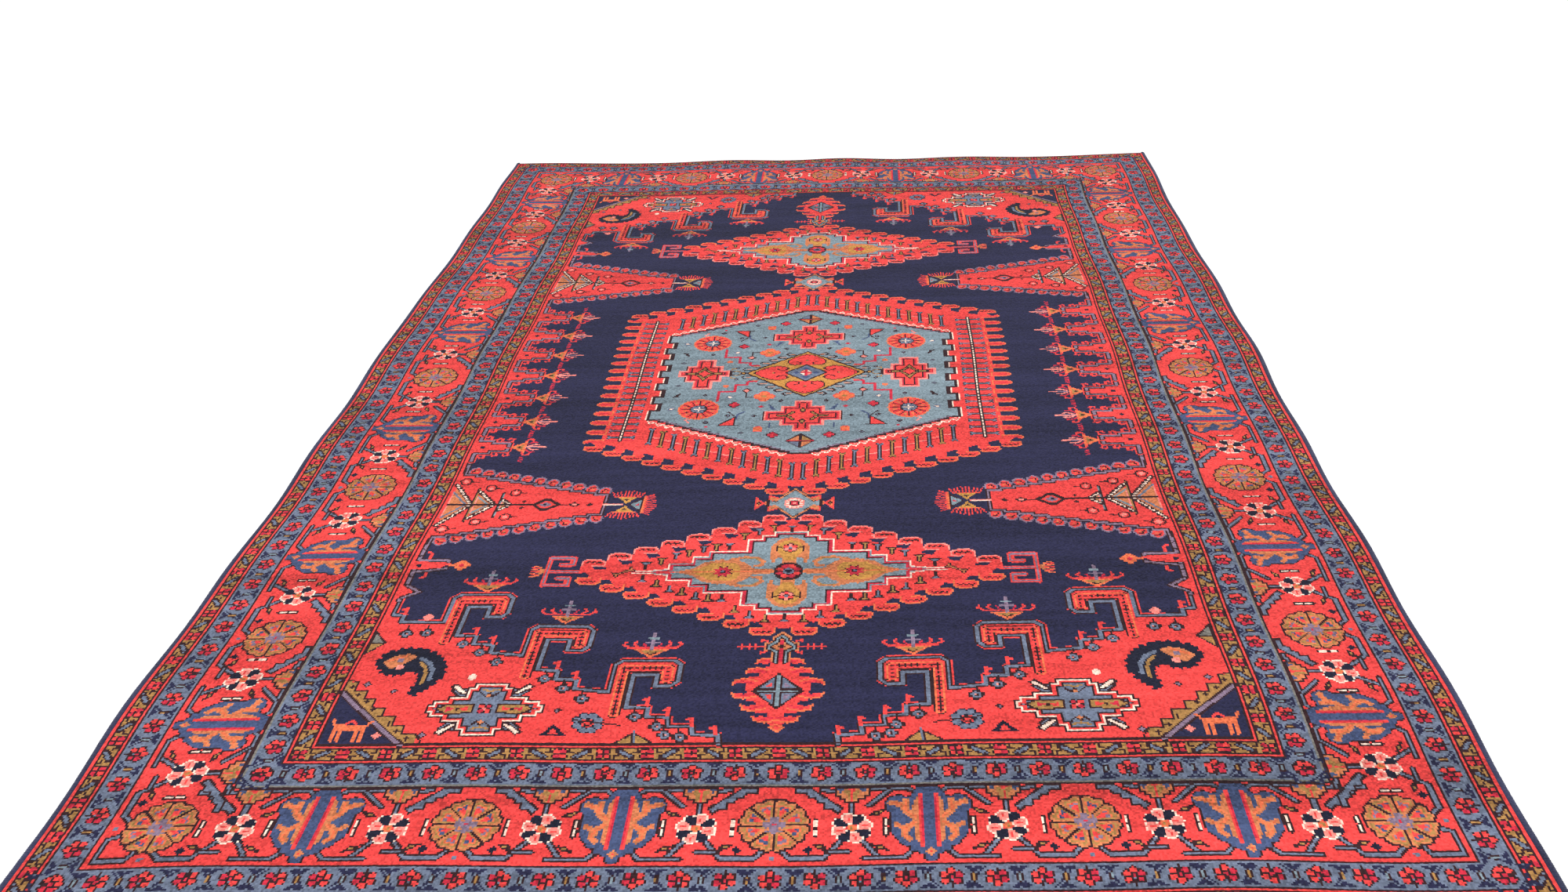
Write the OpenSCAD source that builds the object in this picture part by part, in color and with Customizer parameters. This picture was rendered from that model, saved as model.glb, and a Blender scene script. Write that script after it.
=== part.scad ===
// Hand-knotted wool area rug. A cotton ground weave carries wool pile, worked as
// five border bands around a field with a medallion, two pendants and four spandrels.
// The long sides are overcast over cables, and the ends are flat-woven and bound.
// The origin is at the centre of the underside: +Y runs along the rug and +Z is up.
// Left is -X, right is +X, near is -Y and far is +Y. All sizes are in millimetres.

/* [Rug] */
// Finished width over both selvedges
rug_w = 2140; // [1700:10:2700]
// Finished length over both bound ends
rug_l = 3280; // [2700:10:4000]

/* [Cloth] */
// Thickness of the layer of cotton warps
warp_t = 2; // [1.5:0.1:3]
// Thickness of the layer of cotton wefts over the warps
weft_t = 2; // [1.5:0.1:3]
// Height of the wool pile over the ground weave
pile_h = 7; // [4:0.5:14]

/* [Selvedges and ends] */
// Width of one overcast selvedge
selvedge_w = 12; // [9:1:24]
// Height of the wool wrapping of a selvedge
selvedge_h = 8; // [6:0.5:12]
// Diameter of one cable inside a selvedge
cable_d = 2.6; // [2:0.2:3.6]
// Width of the flat-woven band at each end
kilim_w = 12; // [8:1:60]
// Width of the bound hem outside the flat-woven band
hem_w = 7; // [5:1:12]
// Height of the bound hem
hem_h = 6; // [5:0.5:12]

/* [Border bands] */
// Width of the outer minor border
outer_minor_w = 38; // [20:1:60]
// Width of the outer guard border
outer_guard_w = 52; // [30:1:80]
// Width of the main border
main_border_w = 152; // [100:1:220]
// Width of the inner guard border
inner_guard_w = 54; // [30:1:80]
// Width of the inner minor border
inner_minor_w = 40; // [20:1:60]

/* [Medallion] */
// Half width of the medallion over its fingers
medallion_hw = 475; // [380:5:560]
// Half length of the medallion to its tips
medallion_hl = 530; // [440:5:620]
// Half length of the medallion's straight sides
medallion_side_hl = 335; // [260:5:400]
// Width of the red rim around the medallion's heart
rim_w = 132; // [80:1:180]
// Half length of the heart to its tips
heart_hl = 378; // [300:1:430]
// Half length of the heart's straight sides
heart_side_hl = 225; // [180:1:260]

/* [Pendants and finials] */
// Half width of a pendant's lozenge
pendant_hw = 400; // [300:5:480]
// Half length of a pendant
pendant_hl = 190; // [140:5:240]
// Reach of the hook beyond each side of a pendant
hook_reach = 90; // [40:5:120]
// Half height of a pendant's hook
hook_hh = 48; // [30:1:70]
// Half width of the link between the medallion and a pendant
link_hw = 90; // [60:1:120]
// Half length of that link
link_hl = 55; // [52:1:90]
// How far each tip of the link runs in between its neighbours' slanted sides
link_tuck = 9; // [2:1:20]
// Half width of a finial
finial_hw = 82; // [50:1:120]
// Half length of a finial
finial_hl = 92; // [60:1:120]
// Half width of the stem between a pendant and its finial
stem_hw = 40; // [20:1:60]
// Ground left between a finial and the field's end
finial_end_gap = 38; // [10:1:80]

/* [Side motifs] */
// Half width of a spike where it stands on the field's edge
spike_base_hh = 150; // [100:5:180]
// Length of a spike
spike_len = 337; // [240:1:400]
// Half width of a spike at its tip
spike_tip_hh = 45; // [20:1:60]
// Length of the palmette on a spike's tip
palmette_len = 105; // [60:5:140]
// Half width of that palmette
palmette_hh = 68; // [40:1:90]
// Number of hooks along each side
hooks = 7; // [3:2:9]
// Distance between neighbouring hooks
hook_pitch = 114; // [100:1:150]
// Length of one side hook
hook_len = 157; // [100:1:200]
// Half width of a side hook
side_hook_hh = 46; // [30:1:50]
// Width of the strip that the side hooks stand on
comb_strip_w = 22; // [12:1:40]

/* [Spandrels] */
// Half width of the ground left between the two spandrels of one end
spandrel_gap = 82; // [40:1:160]
// Reach of a spandrel along the rug's side
spandrel_l = 400; // [300:5:500]
// Width of one key-shaped hook on a spandrel
key_w = 112; // [80:1:130]
// Height of one key-shaped hook
key_h = 150; // [100:1:180]
// Shift from one key to the next along the rug's side
key_step_y = 87; // [60:1:110]
// Slope left between the last key and the spandrel's point
key_end_gap = 96; // [40:1:160]

/* [Hidden] */

ground_t = warp_t + weft_t;
// The knotted area ends at the selvedges and at the flat-woven bands.
pile_hw = rug_w / 2 - selvedge_w;
pile_hl = rug_l / 2 - kilim_w - hem_w;

// Each border band runs from one inset to the next, counted from the pile's edge.
inset_guard = outer_minor_w;
inset_main = inset_guard + outer_guard_w;
inset_inner_guard = inset_main + main_border_w;
inset_inner_minor = inset_inner_guard + inner_guard_w;
inset_field = inset_inner_minor + inner_minor_w;
field_hw = pile_hw - inset_field;
field_hl = pile_hl - inset_field;

// The link stands on the medallion's tip and carries the pendant on its other tip.
link_y = medallion_hl + link_hl - link_tuck;
pendant_y = link_y + link_hl - link_tuck + pendant_hl;
// A finial stands off the field's end, and its stem runs from there to the pendant.
finial_y = field_hl - finial_end_gap - finial_hl;
spike_y = link_y;
// Two spandrels share one end of the field, and three keys share a spandrel's slope.
spandrel_w = field_hw - spandrel_gap;
keys = 3;
key_step_x = (spandrel_w - key_end_gap - 2 * key_w) / (keys - 1);

// A pendant's lozenge and a link are blunt at their sides by these shares of their length.
pendant_blunt = 0.24;
link_blunt = 0.5;
finial_blunt = 0.45;
// A side hook narrows to its neck, spreads into a tree and ends in a point.
hook_neck = 0.42;
hook_tree = 0.72;

curve_fn = 48;

navy = [0.13, 0.14, 0.28];
red = [0.93, 0.25, 0.25];
steel_blue = [0.36, 0.49, 0.56];
pale_blue = [0.49, 0.63, 0.66];
olive = [0.66, 0.51, 0.24];
cotton = [0.86, 0.81, 0.71];
rust = [0.62, 0.32, 0.26];

// ---- Outlines seen from above -------------------------------------------

// Six-sided outline with straight sides along Y and a tip at each end
module hexagon(half_w, side_hl, half_l) {
  polygon([
    [half_w, side_hl], [0, half_l], [-half_w, side_hl],
    [-half_w, -side_hl], [0, -half_l], [half_w, -side_hl]
  ]);
}

module medallion_outline() {
  hexagon(medallion_hw, medallion_side_hl, medallion_hl);
}

module heart_outline() {
  hexagon(medallion_hw - rim_w, heart_side_hl, heart_hl);
}

module field_outline() {
  square([2 * field_hw, 2 * field_hl], center = true);
}

module finial_lozenge(end) {
  translate([0, end * finial_y]) hexagon(finial_hw, finial_blunt * finial_hl, finial_hl);
}

// end is -1 for the near end and 1 for the far end
module pendant_outline(end) {
  difference() {
    intersection() {
      field_outline();
      translate([0, end * pendant_y]) {
        hexagon(pendant_hw, pendant_blunt * pendant_hl, pendant_hl);
        square([2 * (pendant_hw + hook_reach), 2 * hook_hh], center = true);
      }
    }
    medallion_outline();
    finial_lozenge(end);
  }
}

module link_outline(end) {
  difference() {
    translate([0, end * link_y]) hexagon(link_hw, link_blunt * link_hl, link_hl);
    medallion_outline();
    pendant_outline(end);
  }
}

module finial_outline(end) {
  finial_lozenge(end);
  difference() {
    translate([-stem_hw, min(end * pendant_y, end * finial_y)])
      square([2 * stem_hw, abs(finial_y - pendant_y)]);
    pendant_outline(end);
  }
}

module axis_motifs() {
  medallion_outline();
  for (end = [-1, 1]) {
    pendant_outline(end);
    link_outline(end);
    finial_outline(end);
  }
}

// side is -1 for the left and 1 for the right
module spike_outline(side, end) {
  difference() {
    translate([side * field_hw, end * spike_y]) scale([-side, 1]) {
      polygon([
        [0, -spike_base_hh], [spike_len, -spike_tip_hh],
        [spike_len, spike_tip_hh], [0, spike_base_hh]
      ]);
      polygon([
        [spike_len, -spike_tip_hh], [spike_len + palmette_len / 2, -palmette_hh],
        [spike_len + palmette_len, 0], [spike_len + palmette_len / 2, palmette_hh],
        [spike_len, spike_tip_hh]
      ]);
    }
    axis_motifs();
  }
}

// One hook points inwards from the field's edge
module side_hook() {
  polygon([
    [0, -side_hook_hh], [hook_neck * hook_len, -0.6 * side_hook_hh],
    [hook_tree * hook_len, -side_hook_hh], [hook_len, 0],
    [hook_tree * hook_len, side_hook_hh], [hook_neck * hook_len, 0.6 * side_hook_hh],
    [0, side_hook_hh]
  ]);
}

module side_hooks_outline(side) {
  difference() {
    translate([side * field_hw, 0]) scale([-side, 1]) {
      for (i = [0 : hooks - 1]) {
        translate([0, (i - (hooks - 1) / 2) * hook_pitch]) side_hook();
      }
      translate([0, -hooks * hook_pitch / 2]) square([comb_strip_w, hooks * hook_pitch]);
    }
    axis_motifs();
    for (end = [-1, 1]) spike_outline(side, end);
  }
}

// A spandrel fills one corner of the field and never crosses the rug's centre lines
module spandrel_outline(side, end) {
  difference() {
    translate([side * field_hw, end * field_hl]) scale([-side, -end]) {
      intersection() {
        square([field_hw, field_hl]);
        union() {
          polygon([[0, 0], [spandrel_w, 0], [0, spandrel_l]]);
          for (i = [0 : keys - 1]) {
            translate([key_w + i * key_step_x, spandrel_l - key_h - i * key_step_y])
              square([key_w, key_h]);
          }
        }
      }
    }
    axis_motifs();
    spike_outline(side, end);
    side_hooks_outline(side);
  }
}

// ---- Solids ---------------------------------------------------------------

module pile(tint) {
  color(tint) translate([0, 0, ground_t]) linear_extrude(pile_h) children();
}

// One mitred side of a border band, between two insets from the pile's edge
module side_strip(side, inset_out, inset_in, tint) {
  pile(tint) scale([side, 1]) polygon([
    [pile_hw - inset_out, -(pile_hl - inset_out)], [pile_hw - inset_out, pile_hl - inset_out],
    [pile_hw - inset_in, pile_hl - inset_in], [pile_hw - inset_in, -(pile_hl - inset_in)]
  ]);
}

// One mitred end of a border band
module end_strip(end, inset_out, inset_in, tint) {
  pile(tint) scale([1, end]) polygon([
    [-(pile_hw - inset_out), pile_hl - inset_out], [-(pile_hw - inset_in), pile_hl - inset_in],
    [pile_hw - inset_in, pile_hl - inset_in], [pile_hw - inset_out, pile_hl - inset_out]
  ]);
}

module cotton_warps() {
  color(cotton) translate([-pile_hw, -pile_hl, 0]) cube([2 * pile_hw, 2 * pile_hl, warp_t]);
}

module cotton_wefts() {
  color(cotton) translate([-pile_hw, -pile_hl, warp_t]) cube([2 * pile_hw, 2 * pile_hl, weft_t]);
}

// Two cables lie side by side at the middle of the wrapping's height
module cable_pair(side, length) {
  for (share = [0.25, 0.7]) {
    translate([side * (pile_hw + share * selvedge_w), 0, selvedge_h / 2])
      rotate([90, 0, 0]) cylinder(d = cable_d, h = length, center = true, $fn = curve_fn);
  }
}

module selvedge_cables(side) {
  color(cotton) cable_pair(side, rug_l);
}

// Flat on its inner side, rounded on its outer side, and bored for its cables
module selvedge_wrap(side) {
  color(navy) difference() {
    intersection() {
      translate([side > 0 ? pile_hw : -rug_w / 2, -rug_l / 2, 0])
        cube([selvedge_w, rug_l, selvedge_h]);
      union() {
        translate([side * (rug_w / 2 - selvedge_h / 2), 0, selvedge_h / 2])
          rotate([90, 0, 0]) cylinder(d = selvedge_h, h = rug_l, center = true, $fn = curve_fn);
        translate([side > 0 ? pile_hw : -rug_w / 2 + selvedge_h / 2, -rug_l / 2, 0])
          cube([selvedge_w - selvedge_h / 2, rug_l, selvedge_h]);
      }
    }
    cable_pair(side, rug_l + 2);
  }
}

module kilim_end(end) {
  color(rust) translate([-pile_hw, end > 0 ? pile_hl : -pile_hl - kilim_w, 0])
    cube([2 * pile_hw, kilim_w, ground_t]);
}

// Flat towards the rug and rounded on its outer side
module bound_hem(end) {
  color(navy) union() {
    translate([0, end * (rug_l / 2 - hem_h / 2), hem_h / 2])
      rotate([0, 90, 0]) cylinder(d = hem_h, h = 2 * pile_hw, center = true, $fn = curve_fn);
    translate([-pile_hw, end > 0 ? pile_hl + kilim_w : -rug_l / 2 + hem_h / 2, 0])
      cube([2 * pile_hw, hem_w - hem_h / 2, hem_h]);
  }
}

module selvedge_cables_left() { selvedge_cables(-1); }
module selvedge_cables_right() { selvedge_cables(1); }
module selvedge_wrap_left() { selvedge_wrap(-1); }
module selvedge_wrap_right() { selvedge_wrap(1); }
module kilim_end_near() { kilim_end(-1); }
module kilim_end_far() { kilim_end(1); }
module bound_hem_near() { bound_hem(-1); }
module bound_hem_far() { bound_hem(1); }

module outer_minor_left() { side_strip(-1, 0, inset_guard, olive); }
module outer_minor_right() { side_strip(1, 0, inset_guard, olive); }
module outer_minor_near() { end_strip(-1, 0, inset_guard, olive); }
module outer_minor_far() { end_strip(1, 0, inset_guard, olive); }
module outer_guard_left() { side_strip(-1, inset_guard, inset_main, steel_blue); }
module outer_guard_right() { side_strip(1, inset_guard, inset_main, steel_blue); }
module outer_guard_near() { end_strip(-1, inset_guard, inset_main, steel_blue); }
module outer_guard_far() { end_strip(1, inset_guard, inset_main, steel_blue); }
module main_border_left() { side_strip(-1, inset_main, inset_inner_guard, red); }
module main_border_right() { side_strip(1, inset_main, inset_inner_guard, red); }
module main_border_near() { end_strip(-1, inset_main, inset_inner_guard, red); }
module main_border_far() { end_strip(1, inset_main, inset_inner_guard, red); }
module inner_guard_left() { side_strip(-1, inset_inner_guard, inset_inner_minor, steel_blue); }
module inner_guard_right() { side_strip(1, inset_inner_guard, inset_inner_minor, steel_blue); }
module inner_guard_near() { end_strip(-1, inset_inner_guard, inset_inner_minor, steel_blue); }
module inner_guard_far() { end_strip(1, inset_inner_guard, inset_inner_minor, steel_blue); }
module inner_minor_left() { side_strip(-1, inset_inner_minor, inset_field, olive); }
module inner_minor_right() { side_strip(1, inset_inner_minor, inset_field, olive); }
module inner_minor_near() { end_strip(-1, inset_inner_minor, inset_field, olive); }
module inner_minor_far() { end_strip(1, inset_inner_minor, inset_field, olive); }

module medallion_heart() { pile(pale_blue) heart_outline(); }

module medallion_rim() {
  pile(red) difference() {
    medallion_outline();
    heart_outline();
  }
}

module pendant_near() { pile(red) pendant_outline(-1); }
module pendant_far() { pile(red) pendant_outline(1); }
module link_near() { pile(pale_blue) link_outline(-1); }
module link_far() { pile(pale_blue) link_outline(1); }
module finial_near() { pile(red) finial_outline(-1); }
module finial_far() { pile(red) finial_outline(1); }
module spike_near_left() { pile(red) spike_outline(-1, -1); }
module spike_near_right() { pile(red) spike_outline(1, -1); }
module spike_far_left() { pile(red) spike_outline(-1, 1); }
module spike_far_right() { pile(red) spike_outline(1, 1); }
module side_hooks_left() { pile(red) side_hooks_outline(-1); }
module side_hooks_right() { pile(red) side_hooks_outline(1); }
module spandrel_near_left() { pile(red) spandrel_outline(-1, -1); }
module spandrel_near_right() { pile(red) spandrel_outline(1, -1); }
module spandrel_far_left() { pile(red) spandrel_outline(-1, 1); }
module spandrel_far_right() { pile(red) spandrel_outline(1, 1); }

// The navy pile fills what the motifs leave of the field
module field_ground() {
  pile(navy) difference() {
    field_outline();
    axis_motifs();
    for (side = [-1, 1]) {
      side_hooks_outline(side);
      for (end = [-1, 1]) {
        spike_outline(side, end);
        spandrel_outline(side, end);
      }
    }
  }
}

cotton_warps();
cotton_wefts();
selvedge_cables_left();
selvedge_cables_right();
selvedge_wrap_left();
selvedge_wrap_right();
kilim_end_near();
kilim_end_far();
bound_hem_near();
bound_hem_far();
outer_minor_left();
outer_minor_right();
outer_minor_near();
outer_minor_far();
outer_guard_left();
outer_guard_right();
outer_guard_near();
outer_guard_far();
main_border_left();
main_border_right();
main_border_near();
main_border_far();
inner_guard_left();
inner_guard_right();
inner_guard_near();
inner_guard_far();
inner_minor_left();
inner_minor_right();
inner_minor_near();
inner_minor_far();
medallion_heart();
medallion_rim();
pendant_near();
pendant_far();
link_near();
link_far();
finial_near();
finial_far();
spike_near_left();
spike_near_right();
spike_far_left();
spike_far_right();
side_hooks_left();
side_hooks_right();
spandrel_near_left();
spandrel_near_right();
spandrel_far_left();
spandrel_far_right();
field_ground();
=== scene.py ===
"""Hand-knotted wool area rug, laid flat on a pale floor.

The design is worked knot by knot on one chart, in millimetres from the rug's centre.
Each patch of pile, each side and each end then becomes a piece of its own.
"""

import math

import bpy
import numpy as np
from mathutils import Matrix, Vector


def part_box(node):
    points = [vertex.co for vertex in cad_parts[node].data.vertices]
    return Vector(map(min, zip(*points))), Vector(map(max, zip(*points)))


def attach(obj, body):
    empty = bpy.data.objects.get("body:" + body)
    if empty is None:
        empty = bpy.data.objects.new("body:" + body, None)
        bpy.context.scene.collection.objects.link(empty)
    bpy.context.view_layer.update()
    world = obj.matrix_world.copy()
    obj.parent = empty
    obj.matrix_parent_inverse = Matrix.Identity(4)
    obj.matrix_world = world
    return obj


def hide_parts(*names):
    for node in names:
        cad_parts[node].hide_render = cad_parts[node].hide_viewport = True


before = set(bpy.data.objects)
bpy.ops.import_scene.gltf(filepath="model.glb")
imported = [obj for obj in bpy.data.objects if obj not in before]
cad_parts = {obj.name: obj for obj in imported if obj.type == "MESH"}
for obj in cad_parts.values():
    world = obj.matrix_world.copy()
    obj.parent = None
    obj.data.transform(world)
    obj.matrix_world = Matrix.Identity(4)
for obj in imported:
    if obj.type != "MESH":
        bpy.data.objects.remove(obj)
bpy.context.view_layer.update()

MM = 0.001
chance = np.random.default_rng(7)


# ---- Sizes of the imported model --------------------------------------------


def half_sizes(node):
    """Largest distances of a node from the rug's centre lines, across and along."""
    low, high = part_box(node)
    return max(-low.x, high.x) / MM, max(-low.y, high.y) / MM


def middle_along(node):
    """Distance of a node's middle from the rug's centre, along the rug."""
    low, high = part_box(node)
    return (low.y + high.y) / 2 / MM


def box_in_mm(node):
    """The two corners of a node's box."""
    return [np.array(corner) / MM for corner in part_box(node)]


PILE_W, PILE_L = half_sizes("cotton_wefts")
FIELD_W, FIELD_L = half_sizes("field_ground")
GUARD_AT = PILE_W - half_sizes("outer_guard_left")[0]
MAIN_AT = PILE_W - half_sizes("main_border_left")[0]
INNER_GUARD_AT = PILE_W - half_sizes("inner_guard_left")[0]
INNER_MINOR_AT = PILE_W - half_sizes("inner_minor_left")[0]
FIELD_AT = PILE_W - FIELD_W
GROUND_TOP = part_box("cotton_wefts")[1].z / MM
PILE_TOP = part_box("field_ground")[1].z / MM
PENDANT_Y = middle_along("pendant_far")
LINK_Y = middle_along("spike_far_left")
FINIAL_REACH = 92
FINIAL_Y = half_sizes("finial_far")[1] - FINIAL_REACH
HOOKS = 7
HOOK_PITCH = 2 * half_sizes("side_hooks_left")[1] / HOOKS

# ---- The chart -------------------------------------------------------------

COLUMNS = 640
ROWS = 980
KNOT_W = 2 * PILE_W / COLUMNS
KNOT_L = 2 * PILE_L / ROWS
knot_x = (np.arange(COLUMNS) + 0.5) * KNOT_W - PILE_W
knot_y = (np.arange(ROWS) + 0.5) * KNOT_L - PILE_L
chart = np.zeros((ROWS, COLUMNS), np.uint8)

DYES = {
    "navy": (38, 38, 66),
    "red": (224, 66, 64),
    "steel": (103, 112, 132),
    "pale": (120, 136, 145),
    "olive": (160, 118, 68),
    "orange": (222, 108, 70),
    "pink": (240, 132, 122),
    "ivory": (238, 206, 188),
    "dark": (50, 28, 32),
    "mauve": (128, 108, 128),
    "blue": (66, 78, 112),
    "magenta": (192, 42, 62),
    "grey": (118, 114, 108),
    "black": (28, 29, 46),
    "camel": (196, 116, 76),
    "gold": (188, 134, 66),
}
NAVY, RED, STEEL, PALE, OLIVE, ORANGE, PINK, IVORY, *OTHERS = range(len(DYES))
DARK, MAUVE, BLUE, MAGENTA, GREY, BLACK, CAMEL, GOLD = OTHERS

# Width of a line that is one knot wide, a little over the knots' own spacing.
KNOT = 3.4
# Width of the edge round a petal.
PETAL_EDGE = 2.2


def window(low, high):
    """Rows and columns of the knots between two corners, and the places of those knots."""
    cols = slice(*np.searchsorted(knot_x, [low[0], high[0]]))
    rows = slice(*np.searchsorted(knot_y, [low[1], high[1]]))
    return rows, cols, knot_x[cols][None, :], knot_y[rows][:, None]


def ray(centre, radius, turn):
    """The point at a distance and an angle in degrees from a centre."""
    t = math.radians(turn)
    return centre[0] + radius * math.cos(t), centre[1] + radius * math.sin(t)


def arc(centre, radius, start, end, steps):
    """Points round an arc, in degrees."""
    return [ray(centre, radius, turn) for turn in np.linspace(start, end, steps + 1)]


def mirrored(points):
    """A closed outline from its half on the right, listed from bottom to top or back."""
    return list(points) + [(-u, v) for u, v in reversed(points)]


def quartered(points):
    """A closed outline from its quarter at the upper right, listed from the side to the top."""
    half = mirrored(points)
    return half + [(u, -v) for u, v in reversed(half)]


def grown(points, by):
    """A quarter outline moved outwards by a distance, in both directions."""
    return [(u + by, v + by) for u, v in points]


def spread(centre, size):
    """The four corners of a diamond."""
    u, v = centre
    return [(u - size, v), (u, v + size), (u + size, v), (u, v - size)]


def stairs(start, end, steps, rise_first=False):
    """Points of a stair from start to end, ends included."""
    du = (end[0] - start[0]) / steps
    dv = (end[1] - start[1]) / steps
    points = [start]
    for i in range(steps):
        u, v = points[-1]
        points.append((u, v + dv) if rise_first else (u + du, v))
        points.append((start[0] + (i + 1) * du, start[1] + (i + 1) * dv))
    return points


def toothed(points, pitch, height):
    """A closed outline with pointed teeth along its outer side."""
    corners = np.array(points, float)
    ends = np.roll(corners, -1, axis=0)
    way = np.sign(((ends[:, 0] - corners[:, 0]) * (ends[:, 1] + corners[:, 1])).sum())
    made = []
    for start, end in zip(corners, ends):
        step = end - start
        length = math.hypot(*step)
        count = max(1, round(length / pitch))
        outward = np.array([-step[1], step[0]]) / length * height * way
        for i in range(count):
            made.append(start + step * i / count)
            made.append(start + step * (i + 0.5) / count + outward)
    return made


class Knotter:
    """Works shapes into the chart from a motif's own place and its own two directions.

    Points are given as (u, v), with u along the first direction and v along the second."""

    def __init__(self, at=(0, 0), across=(1, 0), along=(0, 1)):
        self.at = np.array(at, float)
        self.axes = np.array([across, along], float)

    def placed(self, points):
        """Points of this motif as places on the rug."""
        return self.at + np.array(points, float) @ self.axes

    def move(self, at, flip=(1, 1), turned=False):
        """A knotter for a motif placed in this one, mirrored by flip or turned a quarter."""
        new = Knotter(self.placed(at))
        new.axes = self.axes[::-1] if turned else self.axes
        new.axes = new.axes * np.array(flip, float)[:, None]
        return new

    def spin(self, degrees, at=(0, 0)):
        """A knotter for a motif placed in this one and turned by an angle."""
        turn = math.radians(degrees)
        c, s = math.cos(turn), math.sin(turn)
        new = Knotter(self.placed(at))
        new.axes = np.array([[c, s], [-s, c]]) @ self.axes
        return new

    def halves_across(self):
        """Knotters for a motif's left and right halves, with u pointing outwards in both."""
        return [self.move((0, 0), (side, 1)) for side in (-1, 1)]

    def halves_along(self):
        """Knotters for a motif's lower and upper halves, with v pointing outwards in both."""
        return [self.move((0, 0), (1, side)) for side in (-1, 1)]

    def corners(self):
        """Knotters for a motif's four quarters, with u and v pointing outwards in all."""
        return [self.move((0, 0), (side, end)) for side in (-1, 1) for end in (-1, 1)]

    def area(self, points, dye):
        """Every knot inside a closed outline."""
        corners = self.placed(points)
        rows, cols, x, y = window(corners.min(0), corners.max(0))
        inside = np.zeros((y.shape[0], x.shape[1]), bool)
        for (x0, y0), (x1, y1) in zip(corners, np.roll(corners, -1, axis=0)):
            if y0 != y1:
                crosses = (y0 > y) != (y1 > y)
                inside ^= crosses & (x < x0 + (y - y0) * (x1 - x0) / (y1 - y0))
        chart[rows, cols][inside] = dye

    def line(self, points, dye, width=KNOT, closed=False):
        """Every knot within half a width of a path."""
        corners = self.placed(points)
        ends = np.roll(corners, -1, axis=0) if closed else corners[1:]
        for start, end in zip(corners, ends):
            low = np.minimum(start, end) - width / 2
            high = np.maximum(start, end) + width / 2
            rows, cols, x, y = window(low, high)
            step = end - start
            length = max(step @ step, 1e-9)
            share = ((x - start[0]) * step[0] + (y - start[1]) * step[1]) / length
            share = np.clip(share, 0, 1)
            away = (x - start[0] - share * step[0]) ** 2 + (y - start[1] - share * step[1]) ** 2
            chart[rows, cols][away <= (width / 2) ** 2] = dye

    def dot(self, centre, radius, dye):
        """A round spot."""
        self.line([centre, centre], dye, 2 * radius)

    def diamond(self, centre, size, dye):
        """A plain diamond, as far across as it is along."""
        self.area(spread(centre, size), dye)

    def plus(self, centre, reach, dye, width):
        """Two short lines that cross."""
        u, v = centre
        self.line([(u - reach, v), (u + reach, v)], dye, width)
        self.line([(u, v - reach), (u, v + reach)], dye, width)

    def cord(self, points, core, width=5, edge=DARK):
        """A line with an edge on both sides."""
        self.line(points, edge, width + 2 * KNOT)
        self.line(points, core, width)

    def patch(self, points, dye, edge=DARK, width=KNOT):
        """An area with an outline."""
        self.area(points, dye)
        self.line(points, edge, width, closed=True)

    def bloom(self, centre, petals, reach, radius, dyes, edge=DARK, start=0):
        """Round petals in a ring, each with an edge."""
        spots = arc(centre, reach, start, start + 360, petals)[:-1]
        for spot in spots:
            self.dot(spot, radius + PETAL_EDGE, edge)
        for i, spot in enumerate(spots):
            self.dot(spot, radius, dyes[i % len(dyes)])


def quarters():
    """One knotter for each quarter of the rug, with both directions pointing outwards."""
    return Knotter().corners()


def border_runs():
    """For each half of each side, a knotter whose u runs from the middle to the corner and
    whose v runs inwards from the pile's edge, with the distance to the corner and whether
    the side is a long one."""
    runs = []
    for end in (-1, 1):
        for way in (-1, 1):
            runs.append((Knotter((0, end * PILE_L), (way, 0), (0, -end)), PILE_W, False))
            runs.append((Knotter((end * PILE_W, 0), (0, way), (-end, 0)), PILE_L, True))
    return runs


# ---- Borders ---------------------------------------------------------------

inset_knots = np.minimum(
    np.minimum(np.arange(COLUMNS), COLUMNS - 1 - np.arange(COLUMNS))[None, :],
    np.floor((PILE_L - abs(knot_y)) / KNOT_W)[:, None],
)


def stripes(start, knots_and_dyes):
    """Plain stripes round the whole rug, from the knot nearest to an inset inwards."""
    at = round(start / KNOT_W)
    for knots, dye in knots_and_dyes:
        chart[(inset_knots >= at) & (inset_knots < at + knots)] = dye
        at += knots


# About how far apart the figures of the narrow borders stand; each side fits them evenly.
CLUSTER_PITCH = 68
FAN_PITCH = 63


def minor_border(at, width):
    """Clusters of four petals and slanting bars by turns, with hooks between them."""
    middle = at + width / 2
    for run, reach, _ in border_runs():
        reach -= middle
        count = round(reach / CLUSTER_PITCH)
        pitch = reach / count
        for i in range(count + 1):
            u = i * pitch
            run.bloom((u, middle), 4, 7.6, 4.6, [RED, MAGENTA], DARK, 45)
            run.dot((u, middle), 2, DARK)
            if i == count:
                continue
            lean = 1 if i % 2 else -1
            mid = u + pitch / 2
            run.cord([(mid - 10, middle - 7 * lean), (mid + 10, middle + 7 * lean)], STEEL, 5.5)
            for side in (-1, 1):
                hook = run.move((mid + side * pitch * 0.27, middle), (side, side * lean))
                hook.line([(0, -12), (0, -4), (-7, -4)], DARK)
                hook.line([(-8, 12), (-8, 5)], DARK)


def fan_flower(hand):
    """Five round petals, closest together away from +v, round a dark heart."""
    for size, dyes in ((7.4, [DARK]), (4.9, [RED, MAGENTA])):
        for i, turn in enumerate((-90, -22, 202, 40, 140)):
            hand.dot(ray((0, 0), 11, turn), size, dyes[i % len(dyes)])
    hand.dot((0, 0), 5, DARK)
    hand.dot((0, 0), 2.6, MAGENTA)
    hand.line([(0, 9), (0, 17)], DARK)


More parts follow.
